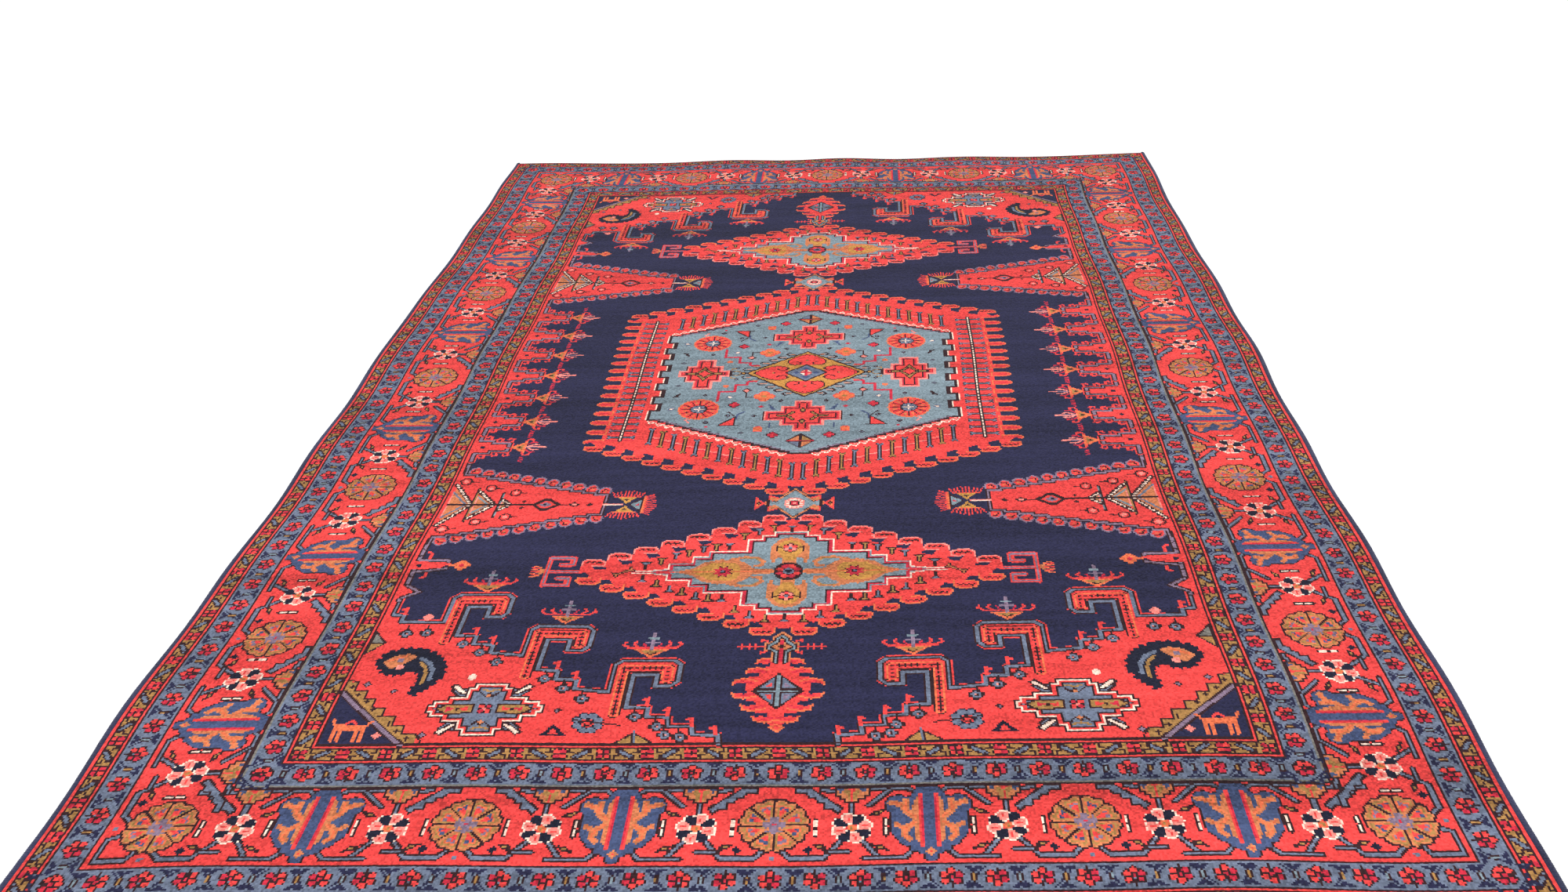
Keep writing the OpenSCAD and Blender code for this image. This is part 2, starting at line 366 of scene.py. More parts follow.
def guard_border(at, width):
    """Fan flowers facing in and out by turns along a waving line, with stepped blocks between."""
    middle = at + width / 2
    steps = [(12, 0), (12, 3), (8, 3), (8, 7), (4, 7), (4, 11)]
    for run, reach, _ in border_runs():
        reach -= middle
        count = 2 * round(reach / FAN_PITCH / 2)
        pitch = reach / count
        sides = [1 if i % 2 else -1 for i in range(count + 1)]
        for i, side in enumerate(sides):
            spot = run.move((i * pitch, middle), (1, side))
            for half in spot.halves_across():
                half.line([(-pitch / 2, -3), (-0.36 * pitch, 12), (-0.26 * pitch, 17)], NAVY)
            for u in (-0.5 * pitch, 0.5 * pitch):
                for edge in (-1, 1):
                    block = run.move((i * pitch + u, middle + edge * 21), (1, -edge))
                    block.area(mirrored(steps), NAVY)
                    block.dot((0, 4), 1.9, STEEL)
        for i, side in enumerate(sides):
            fan_flower(run.move((i * pitch, middle), (1, side)))
            if i < count:
                between = run.move(((i + 0.5) * pitch, middle))
                between.line([(0, -4), (0, 4)], DARK, 9)
                between.line([(0, -4), (0, 4)], PALE if i % 2 else OLIVE)


# How far the middles of the rosettes and of the flowers lie inside the main border, and
# how many figures stand between the middle of a side and its corner.
MAIN_MIDDLE = 76
FLOWER_MIDDLE = 69
END_FIGURES = 8
SIDE_FIGURES = 12


def rosette(hand):
    """Round rosette of eight parts, each with two round lobes, in a dark outline."""
    leans = (11.5, 33.5)
    lobes = [ray((0, 0), 40, turn + lean) for turn in range(0, 360, 45) for lean in leans]
    for size, dye in ((13.5, DARK), (10, CAMEL)):
        for spot in lobes:
            hand.dot(spot, size, dye)
        hand.dot((0, 0), 30 + size, dye)
    for i in range(8):
        part = hand.spin(45 * i + 22.5)
        part.area([(14, 0), (40, -14), (47, -9), (43, 0), (47, 9), (40, 14)], OLIVE)
        part.area([(16, 0), (37, -10), (42, -6), (39, 0), (42, 6), (37, 10)], ORANGE)
        part.area([(20, 0), (33, -7), (38, 0), (33, 7)], RED)
        for lean in (-1, 1):
            part.dot((35, lean * 4.6), 3.4, BLUE if i % 2 else MAUVE)
        hand.spin(45 * i).line([(10, 1.6), (49, 1.6)], DARK)
    hand.bloom((0, 0), 8, 12, 3.4, [MAUVE, CAMEL], MAUVE)
    hand.dot((0, 0), 7, MAUVE)
    hand.dot((0, 0), 2.5, MAGENTA)


def eight_flower(hand):
    """Four black petals between four pink ones, each edged with ivory."""
    for size, dye in ((11.4, IVORY), (8.8, PINK)):
        for i in range(8):
            hand.dot(ray((0, 0), 19, 45 * i + 15), size, dye)
    for turn in (60, 150, 240, 330):
        hand.spin(turn).area([(4, 0), (20, -9), (29, -5), (29, 5), (20, 9)], BLACK)
        hand.spin(turn + 45).line([(14, 0), (22, 0)], RED, 3)
    hand.dot((0, 0), 6.5, ORANGE)
    hand.dot((0, 0), 2.5, OLIVE)


def palmette(hand):
    """Shield-shaped palmette with a cap towards the field and a knob towards the edge."""
    outline = [(5, 2), (10, 6), (10, 14), (20, 20), (28, 22), (30, 30), (40, 34)]
    outline += [(46, 44), (54, 54), (56, 66), (56, 98), (62, 104), (64, 118), (56, 130)]
    outline += [(42, 134), (34, 128), (26, 130), (22, 140), (16, 149)]
    hand.patch(mirrored(outline), BLUE, DARK, 2)
    for half in hand.halves_across():
        half.area([(9, 36), (20, 42), (23, 70), (23, 112), (18, 128), (9, 134)], CAMEL)
        for width, dye in ((11, CAMEL), (4, ORANGE)):
            half.line([(20, 88), (33, 100), (38, 112), (54, 118)], dye, width)
            half.line([(34, 100), (33, 122)], dye, width - 2)
            half.line([(20, 78), (34, 66), (36, 52), (30, 46)], dye, width)
            half.line([(36, 66), (48, 74)], dye, width - 2)
        half.line([(11, 32), (11, 132)], RED, 6.5)
        half.line([(11, 40), (11, 126)], MAGENTA)
    hand.area([(0, 13), (7, 21), (0, 29), (-7, 21)], CAMEL)
    hand.dot((0, 21), 2, RED)


def bud(hand):
    """Stepped bud that stands on the inner edge, with its stem."""
    hand.cord([(0, 96), (0, 122)], STEEL, 4)
    outline = [(10, 119), (10, 126), (18, 126), (18, 134), (25, 134), (25, 149)]
    hand.patch(mirrored(outline), CAMEL)
    hand.area(mirrored([(6, 124), (6, 132), (12, 138), (12, 146)]), OLIVE)
    for u in (-17, 0, 17):
        hand.area([(u - 5, 147), (u + 5, 147), (u, 138)], BLUE if u else RED)
    hand.line([(0, 124), (0, 136)], RED)


def serrated_leaf(hand):
    """Broad leaf from a flower to the inner edge, with a stepped lower side."""
    outline = [(-13, 108), (-62, 151), (-85, 151), (-85, 139), (-68, 139), (-63, 130)]
    outline += [(-53, 130), (-51, 119), (-41, 119), (-39, 107), (-29, 107), (-21, 98)]
    hand.patch(outline, STEEL)


def leaf_tick(hand, at, way):
    """Small pointed leaf beside a vine."""
    leaf = hand.move(at, way)
    leaf.patch([(0, 0), (8, 9), (22, 11), (12, 2)], OLIVE)


def vines(hand, to_rosette, to_palmette):
    """Vines round one flower, with the palmette towards +u and the rosette towards -u."""
    hand.cord([(26, 146), (to_palmette - 28, 146), (to_palmette - 20, 139)], STEEL, 4.5)
    hand.cord([(54, 142), (24, 113)], STEEL, 4.5)
    serrated_leaf(hand)
    hand.cord([(-28, 144), (-44, 146)], STEEL, 4)
    hand.cord([(14, 46), (36, 14)], STEEL, 4.5)
    hand.cord([(18, 10), (to_palmette - 38, 10), (to_palmette - 22, 27)], STEEL, 4.5)
    foot = to_rosette - 12
    hand.cord([(-14, 46), (-40, 12), (14 - foot, 12), (-foot, 28)], STEEL, 4.5)
    hand.cord([(-30, 24), (-6, 24)], STEEL, 4)
    for u in (-52, 48):
        for v in (FLOWER_MIDDLE - 8, FLOWER_MIDDLE + 10):
            hand.line([(u, v - 6), (u, v + 6)], DARK, 9)
            hand.line([(u, v - 5), (u, v + 5)], IVORY, 3.8)
    leaf_tick(hand, (26, 92), (1, 1))
    leaf_tick(hand, (30, 36), (1, -1))
    leaf_tick(hand, (-34, 28), (-1, 1))


def main_border():
    """Rosette, flower, palmette, flower: the sequence runs from each middle to the corners."""
    end_pitch = (PILE_W - MAIN_AT - MAIN_MIDDLE) / END_FIGURES
    corner_figures = 4
    side_count = SIDE_FIGURES - corner_figures
    for run, reach, long_side in border_runs():
        count = SIDE_FIGURES if long_side else END_FIGURES
        spots = [i * end_pitch for i in range(count + 1)]
        if long_side:
            side_reach = reach - (MAIN_AT + MAIN_MIDDLE) - corner_figures * end_pitch
            pitch = side_reach / side_count
            spots = [min(i, side_count) * pitch for i in range(count + 1)]
            for i in range(side_count, count + 1):
                spots[i] += (i - side_count) * end_pitch
        hands = [run.move((u, MAIN_AT)) for u in spots]
        for i in range(1, count, 2):
            towards_palmette = 1 if i % 4 == 1 else -1
            gaps = spots[i] - spots[i - 1], spots[i + 1] - spots[i]
            gaps = gaps[::towards_palmette]
            vines(run.move((spots[i], MAIN_AT), (towards_palmette, 1)), *gaps)
        for i, hand in enumerate(hands):
            if i % 4 == 0:
                rosette(hand.move((0, MAIN_MIDDLE)))
                hand.dot((0, 13), 4.5, STEEL)
                for u in (-50, 50):
                    if i < count or u < 0:
                        hand.line([(u, 16), (u, 26)], DARK)
                        hand.area([(u - 8, 28), (u, 20), (u + 8, 28), (u, 36)], BLACK)
            elif i % 4 == 2:
                palmette(hand)
            else:
                bud(hand)
                eight_flower(hand.move((0, FLOWER_MIDDLE)))
    for quarter in quarters():
        corner = quarter.move((PILE_W - MAIN_AT, PILE_L - MAIN_AT), (-1, -1))
        corner.cord([(25, 60), (11, 54), (11, 12), (54, 12), (62, 26)], STEEL, 4.5)


GUARD_FIGURES_W = 40


def borders():
    """Plain stripes of all five borders, then the figures worked on them."""
    stripes(0, [(2, RED), (1, DARK), (6, OLIVE), (1, DARK), (2, RED)])
    stripes(GUARD_AT, [(1, DARK), (14, STEEL), (1, DARK)])
    stripes(MAIN_AT, [(46, RED)])
    stripes(INNER_GUARD_AT, [(1, DARK), (1, GREY), (14, STEEL), (1, DARK)])
    stripes(INNER_MINOR_AT + 2, [(1, RED), (1, DARK), (7, OLIVE), (1, DARK), (1, RED), (1, DARK)])
    minor_border(0, GUARD_AT)
    guard_border(GUARD_AT + 5, GUARD_FIGURES_W)
    guard_border(INNER_GUARD_AT + 11, GUARD_FIGURES_W)
    minor_border(INNER_MINOR_AT, FIELD_AT - INNER_MINOR_AT)
    main_border()


# ---- Field: sides ------------------------------------------------------------

# How far the corner spandrels reach along the field's sides.
SPANDREL_L = 390


def side_hook(hand):
    """Stepped arm with curled hooks, and a branching tree before its tip; u runs inwards."""
    hand.area([(8, -24), (50, -24), (50, -14), (82, -14), (82, 14), (50, 14), (50, 24), (8, 24)], RED)
    steps = [(15, 60), (15, 27), (46, 27), (46, 17), (84, 17), (84, 2)]
    for half in hand.halves_along():
        for width, dye in ((17, RED), (11, DARK), (5, MAUVE)):
            half.line(steps, dye, width)
        for u, v in ((36, 33), (62, 23), (87, 23)):
            half.line([(u, v), (u + 3, v + 12), (u - 6, v + 15), (u - 9, v + 9)], RED, 5)
        half.area([(88, 0), (122, 0), (122, 24)], ORANGE)
        half.area([(100, 0), (117, 0), (117, 12)], OLIVE)
        half.line([(118, 22), (124, 34), (134, 34), (134, 28)], RED, 4.5)
        half.line([(124, 12), (136, 22), (144, 20)], MAGENTA, 4.5)
        half.line([(128, 4), (142, 12), (150, 9)], PINK, 4.5)
        for i in range(3):
            half.line([(118, 42 + 8 * i), (124, 46 + 8 * i)], MAGENTA, 4)
    hand.dot((109, 0), 4, DARK)
    hand.line([(124, 0), (166, 0)], PINK, 6)
    hand.line([(126, 0), (148, 0)], MAUVE, 3)
    hand.dot((26, 0), 5.5, BLACK)


def chevron(hand, base, apex, spread_out, core):
    """Pointed figure with a stitched pale edge, on a dark bar; it points inwards."""
    for half in hand.halves_along():
        half.area([(base, 2), (base, spread_out), (apex, 2)], CAMEL)
        half.line([(base, spread_out * 0.62), (apex - 14, 4)], core, 5)
        half.line([(base - 2, spread_out + 2), (apex, 2)], DARK, 11)
        half.line([(base, spread_out), (apex - 2, 3)], IVORY, 4.6)
        steps = round(spread_out / 9)
        for i in range(1, steps + 1):
            spot = (apex - (apex - base) * i / (steps + 0.5), spread_out * i / (steps + 0.5))
            half.line([spot, (spot[0] + 4, spot[1] + 4)], DARK, 3.4)
        half.line([(base, 2), (base, spread_out * 0.55)], PINK)


def spike(hand):
    """Long stepped spike from the field's edge, with a comb-shaped palmette on its tip."""
    base, tip, tip_half = 118, 337, 30
    side = stairs((16, base), (tip, tip_half), 12)
    for half in hand.halves_along():
        half.area([(0, 0), (0, base + 12)] + side + [(tip, 0)], RED)
        for i in range(11):
            u = 36 + i * (tip - 38) / 10.2
            v = base + 19 - (base - tip_half) * (u - 20) / (tip - 16)
            leaf = half.move((u, v))
            leaf.area([(-14, -12), (-14, 4), (-7, 14), (4, 16), (13, 9), (15, -3), (8, -12)], MAUVE)
            leaf.area([(-10, -12), (-10, 3), (-5, 10), (3, 12), (9, 7), (11, -3), (6, -12)], RED)
            leaf.line([(-6, -4), (-2, 5), (6, 4)], DARK, 3.2)
            leaf.dot((2, -2), 2.4, CAMEL)
        half.line([(15, base + 40)] + side + [(tip, 0)], DARK, 11)
        half.line([(15, base + 40)] + side + [(tip, 0)], MAUVE, 5)
        half.line([(62, 62), (62, 4)], DARK, 7)
        half.line([(62, 58), (62, 6)], OLIVE, 2)
        half.line([(118, 46), (118, 4)], DARK, 7)
        half.line([(118, 42), (118, 6)], PALE, 2)
        for u, v, size in ((26, 90, 14), (86, 64, 13), (142, 46, 13)):
            half.dot((u, v), size, DARK)
            half.dot((u, v), size - 4, RED)
            half.diamond((u, v), size - 6, PINK)
            half.line([(u + size, v), (u + size + 12, v - 3)], DARK)
    chevron(hand, 10, 58, 76, STEEL)
    chevron(hand, 66, 106, 50, PALE)
    chevron(hand, 122, 140, 18, OLIVE)
    hand.line([(10, 0), (190, 0)], DARK, 4.5)
    for v in (-12, 12):
        hand.diamond((168, v), 6, DARK)
    hand.area([(184, 0), (206, 22), (222, 22), (248, 0), (222, -22), (206, -22)], DARK)
    hand.area([(196, 0), (210, 14), (220, 14), (236, 0), (220, -14), (210, -14)], RED)
    hand.area([(202, 0), (214, 10), (228, 0), (214, -10)], MAUVE)
    hand.dot((214, 0), 4, BLACK)
    hand.line([(248, 0), (262, 0)], DARK)
    hand.area([(260, 0), (274, 9), (288, 0), (274, -9)], DARK)
    hand.area([(266, 0), (274, 4), (282, 0), (274, -4)], PINK)
    hand.diamond((306, 0), 7, DARK)
    hand.line([(tip - 2, 0), (tip + 36, 0)], PINK, 6)
    hand.line([(tip, 0), (tip + 34, 0)], IVORY)
    for fan in hand.halves_along():
        fan.area([(380, 4), (362, 26), (398, 26)], GOLD)
        fan.area([(380, 12), (373, 20), (387, 20)], BLACK)
        fan.line([(358, 28), (402, 28)], ORANGE, 5)
        for i in range(-4, 5):
            fan.line([(380 + 6.6 * i, 30), (380 + 8.2 * i, 53 - abs(i) * 2)], RED, 3.4)
    hand.patch([(388, 0), (414, 24), (414, -24)], PALE)
    hand.dot((406, 0), 3.5, MAGENTA)
    hand.line([(417, -30), (417, 30)], ORANGE, 5)
    for i in range(-5, 6):
        hand.line([(419, 6 * i), (443 - abs(i) * 2, 7.4 * i)], RED, 3.4)


LONE_ARM_Y = 790
EDGE_TOOTH_Y = 880


def lone_arm(hand):
    """Arm that stands by itself beyond the spike, with two hooks and a toothed diamond."""
    hand.cord([(15, -26), (15, -16), (72, -16), (76, -8)], MAUVE)
    hand.cord([(15, 34), (15, 22), (44, 18), (76, 10)], MAUVE)
    hand.area([(4, -12), (62, -10), (80, -4), (62, 10), (4, 16)], RED)
    hand.line([(34, -22), (34, -38), (28, -42)], RED, 6)
    hand.line([(40, 26), (40, 38), (34, 42)], RED, 6)
    hand.dot((20, 2), 5, BLACK)
    hand.line([(80, 0), (96, 0)], ORANGE, 6)
    hand.area(toothed(spread((102, 0), 17), 9, 3), ORANGE)
    hand.diamond((102, 0), 6, MAGENTA)


def edge_tooth(hand):
    """Plain pointed tooth between the lone arm and the spandrel."""
    hand.area([(4, -26), (16, -22), (44, -4), (16, 16), (4, 20)], RED)
    hand.cord([(16, -24), (44, -4), (18, 14)], MAUVE)


def field_sides():
    """Everything that grows from the field's two long sides."""
    top = FIELD_L - SPANDREL_L + 10
    for side in (-1, 1):
        edge = Knotter((side * FIELD_W, 0), (-side, 0), (0, 1))
        edge.area([(0, -top), (11, -top), (11, top), (0, top)], RED)
        edge.line([(1, -FIELD_L), (1, FIELD_L)], DARK)
        edge.cord([(15, -top), (15, top)], MAUVE)
        for end in edge.halves_along():
            lone_arm(end.move((0, LONE_ARM_Y)))
            edge_tooth(end.move((0, EDGE_TOOTH_Y)))
            spike(end.move((0, LINK_Y)))
        for i in range(HOOKS):
            side_hook(edge.move((0, (i - (HOOKS - 1) / 2) * HOOK_PITCH)))


# ---- Field: medallion ----------------------------------------------------------

# Half widths and half lengths of the medallion's parts, from its middle.
BODY_W = 438
FLANK_W = 395
RIM_INNER_W = 343
HEART_SIDE = 225
HEART_TIP = 378


def bone(hand, half_length, core):
    """Bar with a fork at both ends, along v."""
    hand.line([(0, -half_length), (0, half_length)], DARK, 9.5)
    for size, dye in ((7, DARK), (KNOT, core)):
        for way in (-1, 1):
            for lean in (-1, 1):
                start = (0, way * (half_length - 5))
                hand.line([start, (lean * 5, way * (half_length + 4))], dye, size)
    hand.line([(0, -half_length), (0, half_length)], core, 3.6)


def curled_leaf(hand, edge=ORANGE):
    """Blunt leaf that grows out of the body and lies along u; the ground cuts in behind its tip."""
    hand.area([(-24, -34), (-22, 4), (2, 4), (0, -34)], RED)
    hand.area([(2, -9), (28, -12), (27, -20), (10, -26), (1, -14)], NAVY)
    shape = [(-22, -8), (-22, 5), (-14, 12), (5, 13), (17, 10), (23, 2), (21, -7), (8, -9), (-2, -7)]
    hand.area(shape, RED)
    hand.line(shape, edge)
    hand.line([(-14, 1), (-9, 6), (-4, 1), (1, 6), (6, 1), (11, 6), (15, 1)], DARK, 3)


def flank_bones(quarter):
    """Bones across the medallion's side, threaded on a line of pale stitches."""
    for i in range(11):
        spot = quarter.move((FLANK_W, 8 + 29.5 * i))
        spot.line([(-30, 13), (30, 13)], MAGENTA, 2.6)
        bone(spot.move((0, 0), turned=True), 25, MAUVE if i % 2 else STEEL)
    quarter.line([(FLANK_W, 0), (FLANK_W, 320)], DARK, 7)
    for i in range(24):
        quarter.line([(FLANK_W, 13.4 * i + 2), (FLANK_W, 13.4 * i + 8)], IVORY)


def medallion():
    """Red rim with fingers, curled leaves and bones, round the pale heart."""
    body = [(BODY_W, 0), (BODY_W, 326), (30, 505), (0, 514)]
    tooth_sides = []
    for v in (33, 99, 165):
        tooth_sides += [(348, v - 17), (329, v - 17), (329, v + 17), (348, v + 17)]
    side = [(348, 0)] + tooth_sides + [(348, HEART_SIDE)]
    slope = stairs((RIM_INNER_W - 2, HEART_SIDE), (22, HEART_TIP), 16)
    for quarter in quarters():
        quarter.area([(0, 0)] + body, RED)
        for i in range(8):
            v = 21.5 + 43 * i
            finger = quarter.move((BODY_W, v))
            finger.patch([(-6, -10), (24, -10), (35, -5), (35, 5), (24, 10), (-6, 10)], RED, ORANGE)
            finger.line([(6, 0), (26, 0)], MAGENTA)
        for i in range(10):
            curled_leaf(quarter.move((446 - i * 45.3, 350 + i * 19.8)))
        flank_bones(quarter)
        for i in range(13):
            u = 13 + 26.4 * i
            v = 450 - 12.6 * i
            if i < 12:
                quarter.line([(u, v - 3), (u + 26, v - 9)], PINK)
                quarter.line([(u, v + 3), (u + 26, v - 3)], MAGENTA, 3)
            bone(quarter.move((u, v)), 30, OLIVE if i % 2 else STEEL)
    for quarter in quarters():
        for i in range(16):
            u = RIM_INNER_W + 4 - 20 * i
            v = HEART_SIDE + 9 + 9.6 * i
            quarter.line([(u, v - 6), (u - 7, v + 9), (u - 18, v + 2)], IVORY)
            quarter.area([(u - 4, v - 7), (u - 8, v + 4), (u - 15, v - 3)], PINK)
        quarter.line([(u + 5, v) for u, v in side], IVORY)
        quarter.area([(0, 0)] + side + slope + [(0, HEART_TIP)], PALE)
        quarter.line(side + slope + [(0, HEART_TIP)], DARK, 7.5)
        inner = [(RIM_INNER_W - 14, HEART_SIDE - 2), (22, HEART_TIP - 11), (0, HEART_TIP - 11)]
        quarter.line(inner, MAUVE)


def stepped_cross(hand, outline, fork):
    """Cross with stepped arms in three lines, with forked figures inside it."""
    hand.area(quartered(outline), DARK)
    hand.area(quartered(grown(outline, -1)), PINK)
    hand.area(quartered(grown(outline, -6)), RED)
    hand.line(quartered(grown(outline, -9)), MAGENTA, closed=True)
    hand.line(quartered(grown(outline, -13)), DARK, 3, closed=True)
    for half, end in zip(hand.halves_across(), hand.halves_along()):
        figure = [(fork - 10, -18), (fork - 3, -8), (fork + 8, 0), (fork - 3, 8), (fork - 10, 18)]
        half.cord(figure, OLIVE, 3.4)
        half.cord([(fork + 8, 0), (fork + 24, 0)], OLIVE, 3.4)
        end.area([(0, 14), (9, 24), (0, 40), (-9, 24)], DARK)
        end.area([(0, 19), (5, 25), (0, 35), (-5, 25)], OLIVE)


def round_flower(hand):
    """Twelve petals round a steel star, as one round flower."""
    hand.dot((0, 0), 47, ORANGE)
    hand.dot((0, 0), 43, RED)
    for i in range(12):
        hand.spin(30 * i).line([(20, 0), (40, 0)], DARK, 3)
        hand.spin(30 * i + 15).line([(28, 0), (37, 0)], CAMEL if i % 2 else ORANGE, 5)
    hand.dot((0, 0), 20, DARK)
    hand.dot((0, 0), 17, STEEL)
    for i in range(8):
        hand.spin(45 * i + 22.5).line([(9, 0), (16, 0)], BLACK, 2.4)
    for i in range(4):
        hand.spin(90 * i).line([(3, 0), (11, 0)], IVORY, 2.8)


def small_flower(hand, at, radius, dye, heart, edge=DARK):
    """Four touching petals of one dye round a heart of another."""
    hand.bloom(at, 4, radius * 0.55, radius * 0.45, [dye], edge)
    hand.dot(at, max(radius * 0.25, 2), heart)


def lobe(hand, reach, half_width):
    """Red spade-shaped lobe along u, with its foot curled in on both sides; its size is given."""
    foot = 42
    length = reach - foot
    shares = [(1.0, 0), (0.9, 0.28), (0.72, 0.62), (0.5, 0.92), (0.26, 1.0), (0.08, 0.86)]
    shares += [(0.0, 0.6), (0.1, 0.34), (0.26, 0.36), (0.32, 0.56)]
    for half in hand.halves_along():
        edge = [(foot + a * length, b * half_width) for a, b in shares]
        half.area([(foot, 0)] + edge[:7] + [(foot + 2, 0)], RED)
        half.line(edge, DARK)
        half.dot((reach - 9, 5), 2, DARK)
    middle = (foot - 2 + 0.45 * length, 0)
    hand.dot(middle, 4, DARK)
    hand.dot(middle, 2, OLIVE)


def heart_middle(whole):
    """Gold lozenge with four lobes and hooked leaves, round a small blue diamond."""
    for quarter in quarters():
        for i in range(6):
            u = 128 - 20 * i
            v = 19 + 17 * i
            leaf = quarter.move((u, v))
            leaf.line([(-4, -4), (16, -5), (23, 2), (17, 9), (5, 8)], DARK)
            leaf.line([(2, 1), (15, 1)], CAMEL)
    whole.patch(quartered([(142, 0), (0, 120)]), GOLD, DARK, 5)
    for side in (-1, 1):
        lobe(whole.move((0, 0), (side, 1)), 124, 38)
        lobe(whole.move((0, 0), (side, side), turned=True), 106, 46)
        half = whole.move((0, 0), (side, 1))
        half.patch(spread((148, 0), 8), GOLD)
        for hook in half.halves_along():
            hook.line([(154, 3), (162, 12), (178, 10), (178, 4)], DARK, 6)
            hook.line([(154, 3), (162, 12), (176, 10)], OLIVE, 2.4)
    whole.patch(quartered([(48, 0), (0, 44)]), STEEL, DARK, 4.5)
    for side in (-1, 1):
        whole.diamond((side * 24, 0), 9, BLUE)
        whole.diamond((0, side * 22), 9, BLUE)
    whole.bloom((0, 0), 4, 8, 6, [IVORY, PINK], BLACK, 45)
    whole.line([(-13, 0), (13, 0)], MAGENTA, 4)
    whole.line([(0, -16), (0, 16)], MAGENTA, 4)


# Small fillers in the heart's quarter, placed between the larger motifs.
DIAMOND_FILLERS = [(168, 208), (110, 210), (132, 286), (298, 62)]
DIAMOND_FILLERS += [(164, 30), (52, 140), (230, 110), (215, 238)]


def heart():
    """Everything that lies on the medallion's pale middle."""
    whole = Knotter()
    heart_middle(whole)
    for quarter in quarters():
        steps = [(200, 140), (200, 92), (162, 92), (162, 60), (134, 60), (134, 44), (114, 44)]
        quarter.line(steps, MAGENTA, 6.6)
        quarter.line([(176, 18), (176, 26), (166, 26)], OLIVE)
        round_flower(quarter.move((237, 177)))
        small_flower(quarter, (92, 118), 23, ORANGE, OLIVE, RED)
        small_flower(quarter, (158, 157), 12, MAGENTA, RED)
        small_flower(quarter, (62, 297), 12, MAGENTA, RED)
        quarter.dot((186, 65), 7, ORANGE)
        quarter.bloom((96, 270), 4, 6, 5, [ORANGE], RED, 45)
        quarter.dot((96, 167), 5.5, MAGENTA)
        for spot in ((171, 120), (300, 175)):
            quarter.dot(spot, 8, STEEL)
            quarter.dot(spot, 4.5, IVORY)
        quarter.patch([(188, 254), (150, 213), (150, 252)], RED)
        quarter.line([(150, 213), (150, 254), (140, 254)], DARK)
        quarter.patch(spread((135, 88), 10), PINK)
        quarter.line([(135, 100), (135, 120), (118, 120)], DARK)
        quarter.line([(132, 190), (146, 205), (146, 222)], BLUE, 4)
        quarter.line([(150, 214), (168, 190), (172, 196)], DARK)
        quarter.area([(290, 118), (306, 122), (288, 96)], DARK)
        for spot in DIAMOND_FILLERS:
            quarter.diamond(spot, 7, DARK)
            quarter.dot(spot, 2.4, STEEL)
        quarter.area([(72, 182), (80, 152), (60, 182)], BLUE)
        quarter.line([(72, 242), (72, 262)], BLUE, 4)
        quarter.dot((211, 258), 4.5, MAGENTA)
        quarter.line([(252, 240), (262, 226), (254, 222)], PINK)
    for end in whole.halves_along():
        stepped_cross(end.move((0, 210)), [(88, 23), (50, 23), (50, 46), (21, 46), (21, 71)], 30)
        divided = end.move((0, 324))
        divided.diamond((0, 0), 33, DARK)
        for u, v, dye in ((-1, -1, CAMEL), (1, -1, OLIVE), (-1, 1, STEEL), (1, 1, CAMEL)):
            divided.area([(3 * u, 4 * v), (25 * u, 4 * v), (3 * u, 26 * v)], dye)
        divided.line([(-28, 0), (28, 0)], MAGENTA)
    for flank in whole.halves_across():
        stepped_cross(flank.move((242, 0)), [(62, 17), (44, 17), (44, 44), (24, 44), (24, 80)], 16)


# ---- Field: links, pendants, finials -------------------------------------------


def link(hand):
    """Pale diamond with tails and a flower, four small wings, and a bow at each side."""
    for wing in hand.corners():
        wing.patch([(26, 16), (50, 28), (52, 12), (40, 6)], CAMEL, RED)
    for bow in hand.halves_across():
        bow.area([(50, -15), (66, 0), (50, 15)], ORANGE)
        bow.area([(58, 0), (80, -25), (80, 25)], RED)
        bow.area([(65, 0), (76, -15), (76, 15)], ORANGE)
        bow.diamond((71, 0), 6, DARK)
        bow.dot((71, 0), 2, OLIVE)
    hand.area([(-50, 0), (0, 58), (50, 0), (0, -58)], DARK)
    hand.line([(-46, 0), (0, 54), (46, 0), (0, -54)], CAMEL, 4, closed=True)
    hand.area([(-42, 0), (0, 49), (42, 0), (0, -49)], PALE)
    for tail in hand.halves_across():
        tail.area([(34, 0), (55, -16), (55, 16)], DARK)
        tail.area([(30, 0), (51, -12), (51, 12)], PALE)
    hand.area(quartered([(21, 6), (15, 15), (6, 20)]), PINK)
    for i in range(12):
        hand.spin(30 * i).line([(12, 0), (17, 0)], IVORY)
    hand.bloom((0, 0), 4, 5, 4, [MAGENTA], DARK, 45)
    hand.dot((0, 0), 3, PINK)


def tulip(hand, core):
    """Small stem that spreads into a foot, towards +v."""
    hand.line([(0, 0), (0, 14)], DARK, 8)
    hand.area([(-13, 21), (13, 21), (0, 6)], DARK)
    hand.line([(0, 0), (0, 14)], core, 2.6)
    hand.area([(-7, 19), (7, 19), (0, 11)], core)


# A quarter of the pendant's pale middle, and the places of the tulips round it.
PENDANT_STEPS = [(292, 2), (256, 4), (222, 10), (222, 28), (180, 28), (180, 48), (152, 48)]
PENDANT_STEPS += [(152, 67), (80, 67), (80, 106), (56, 106), (56, 120), (32, 120), (32, 131)]
TULIPS = [(62, 124), (90, 108), (116, 74), (140, 72), (164, 66), (190, 52), (214, 44)]
TULIPS += [(240, 26), (268, 12)]


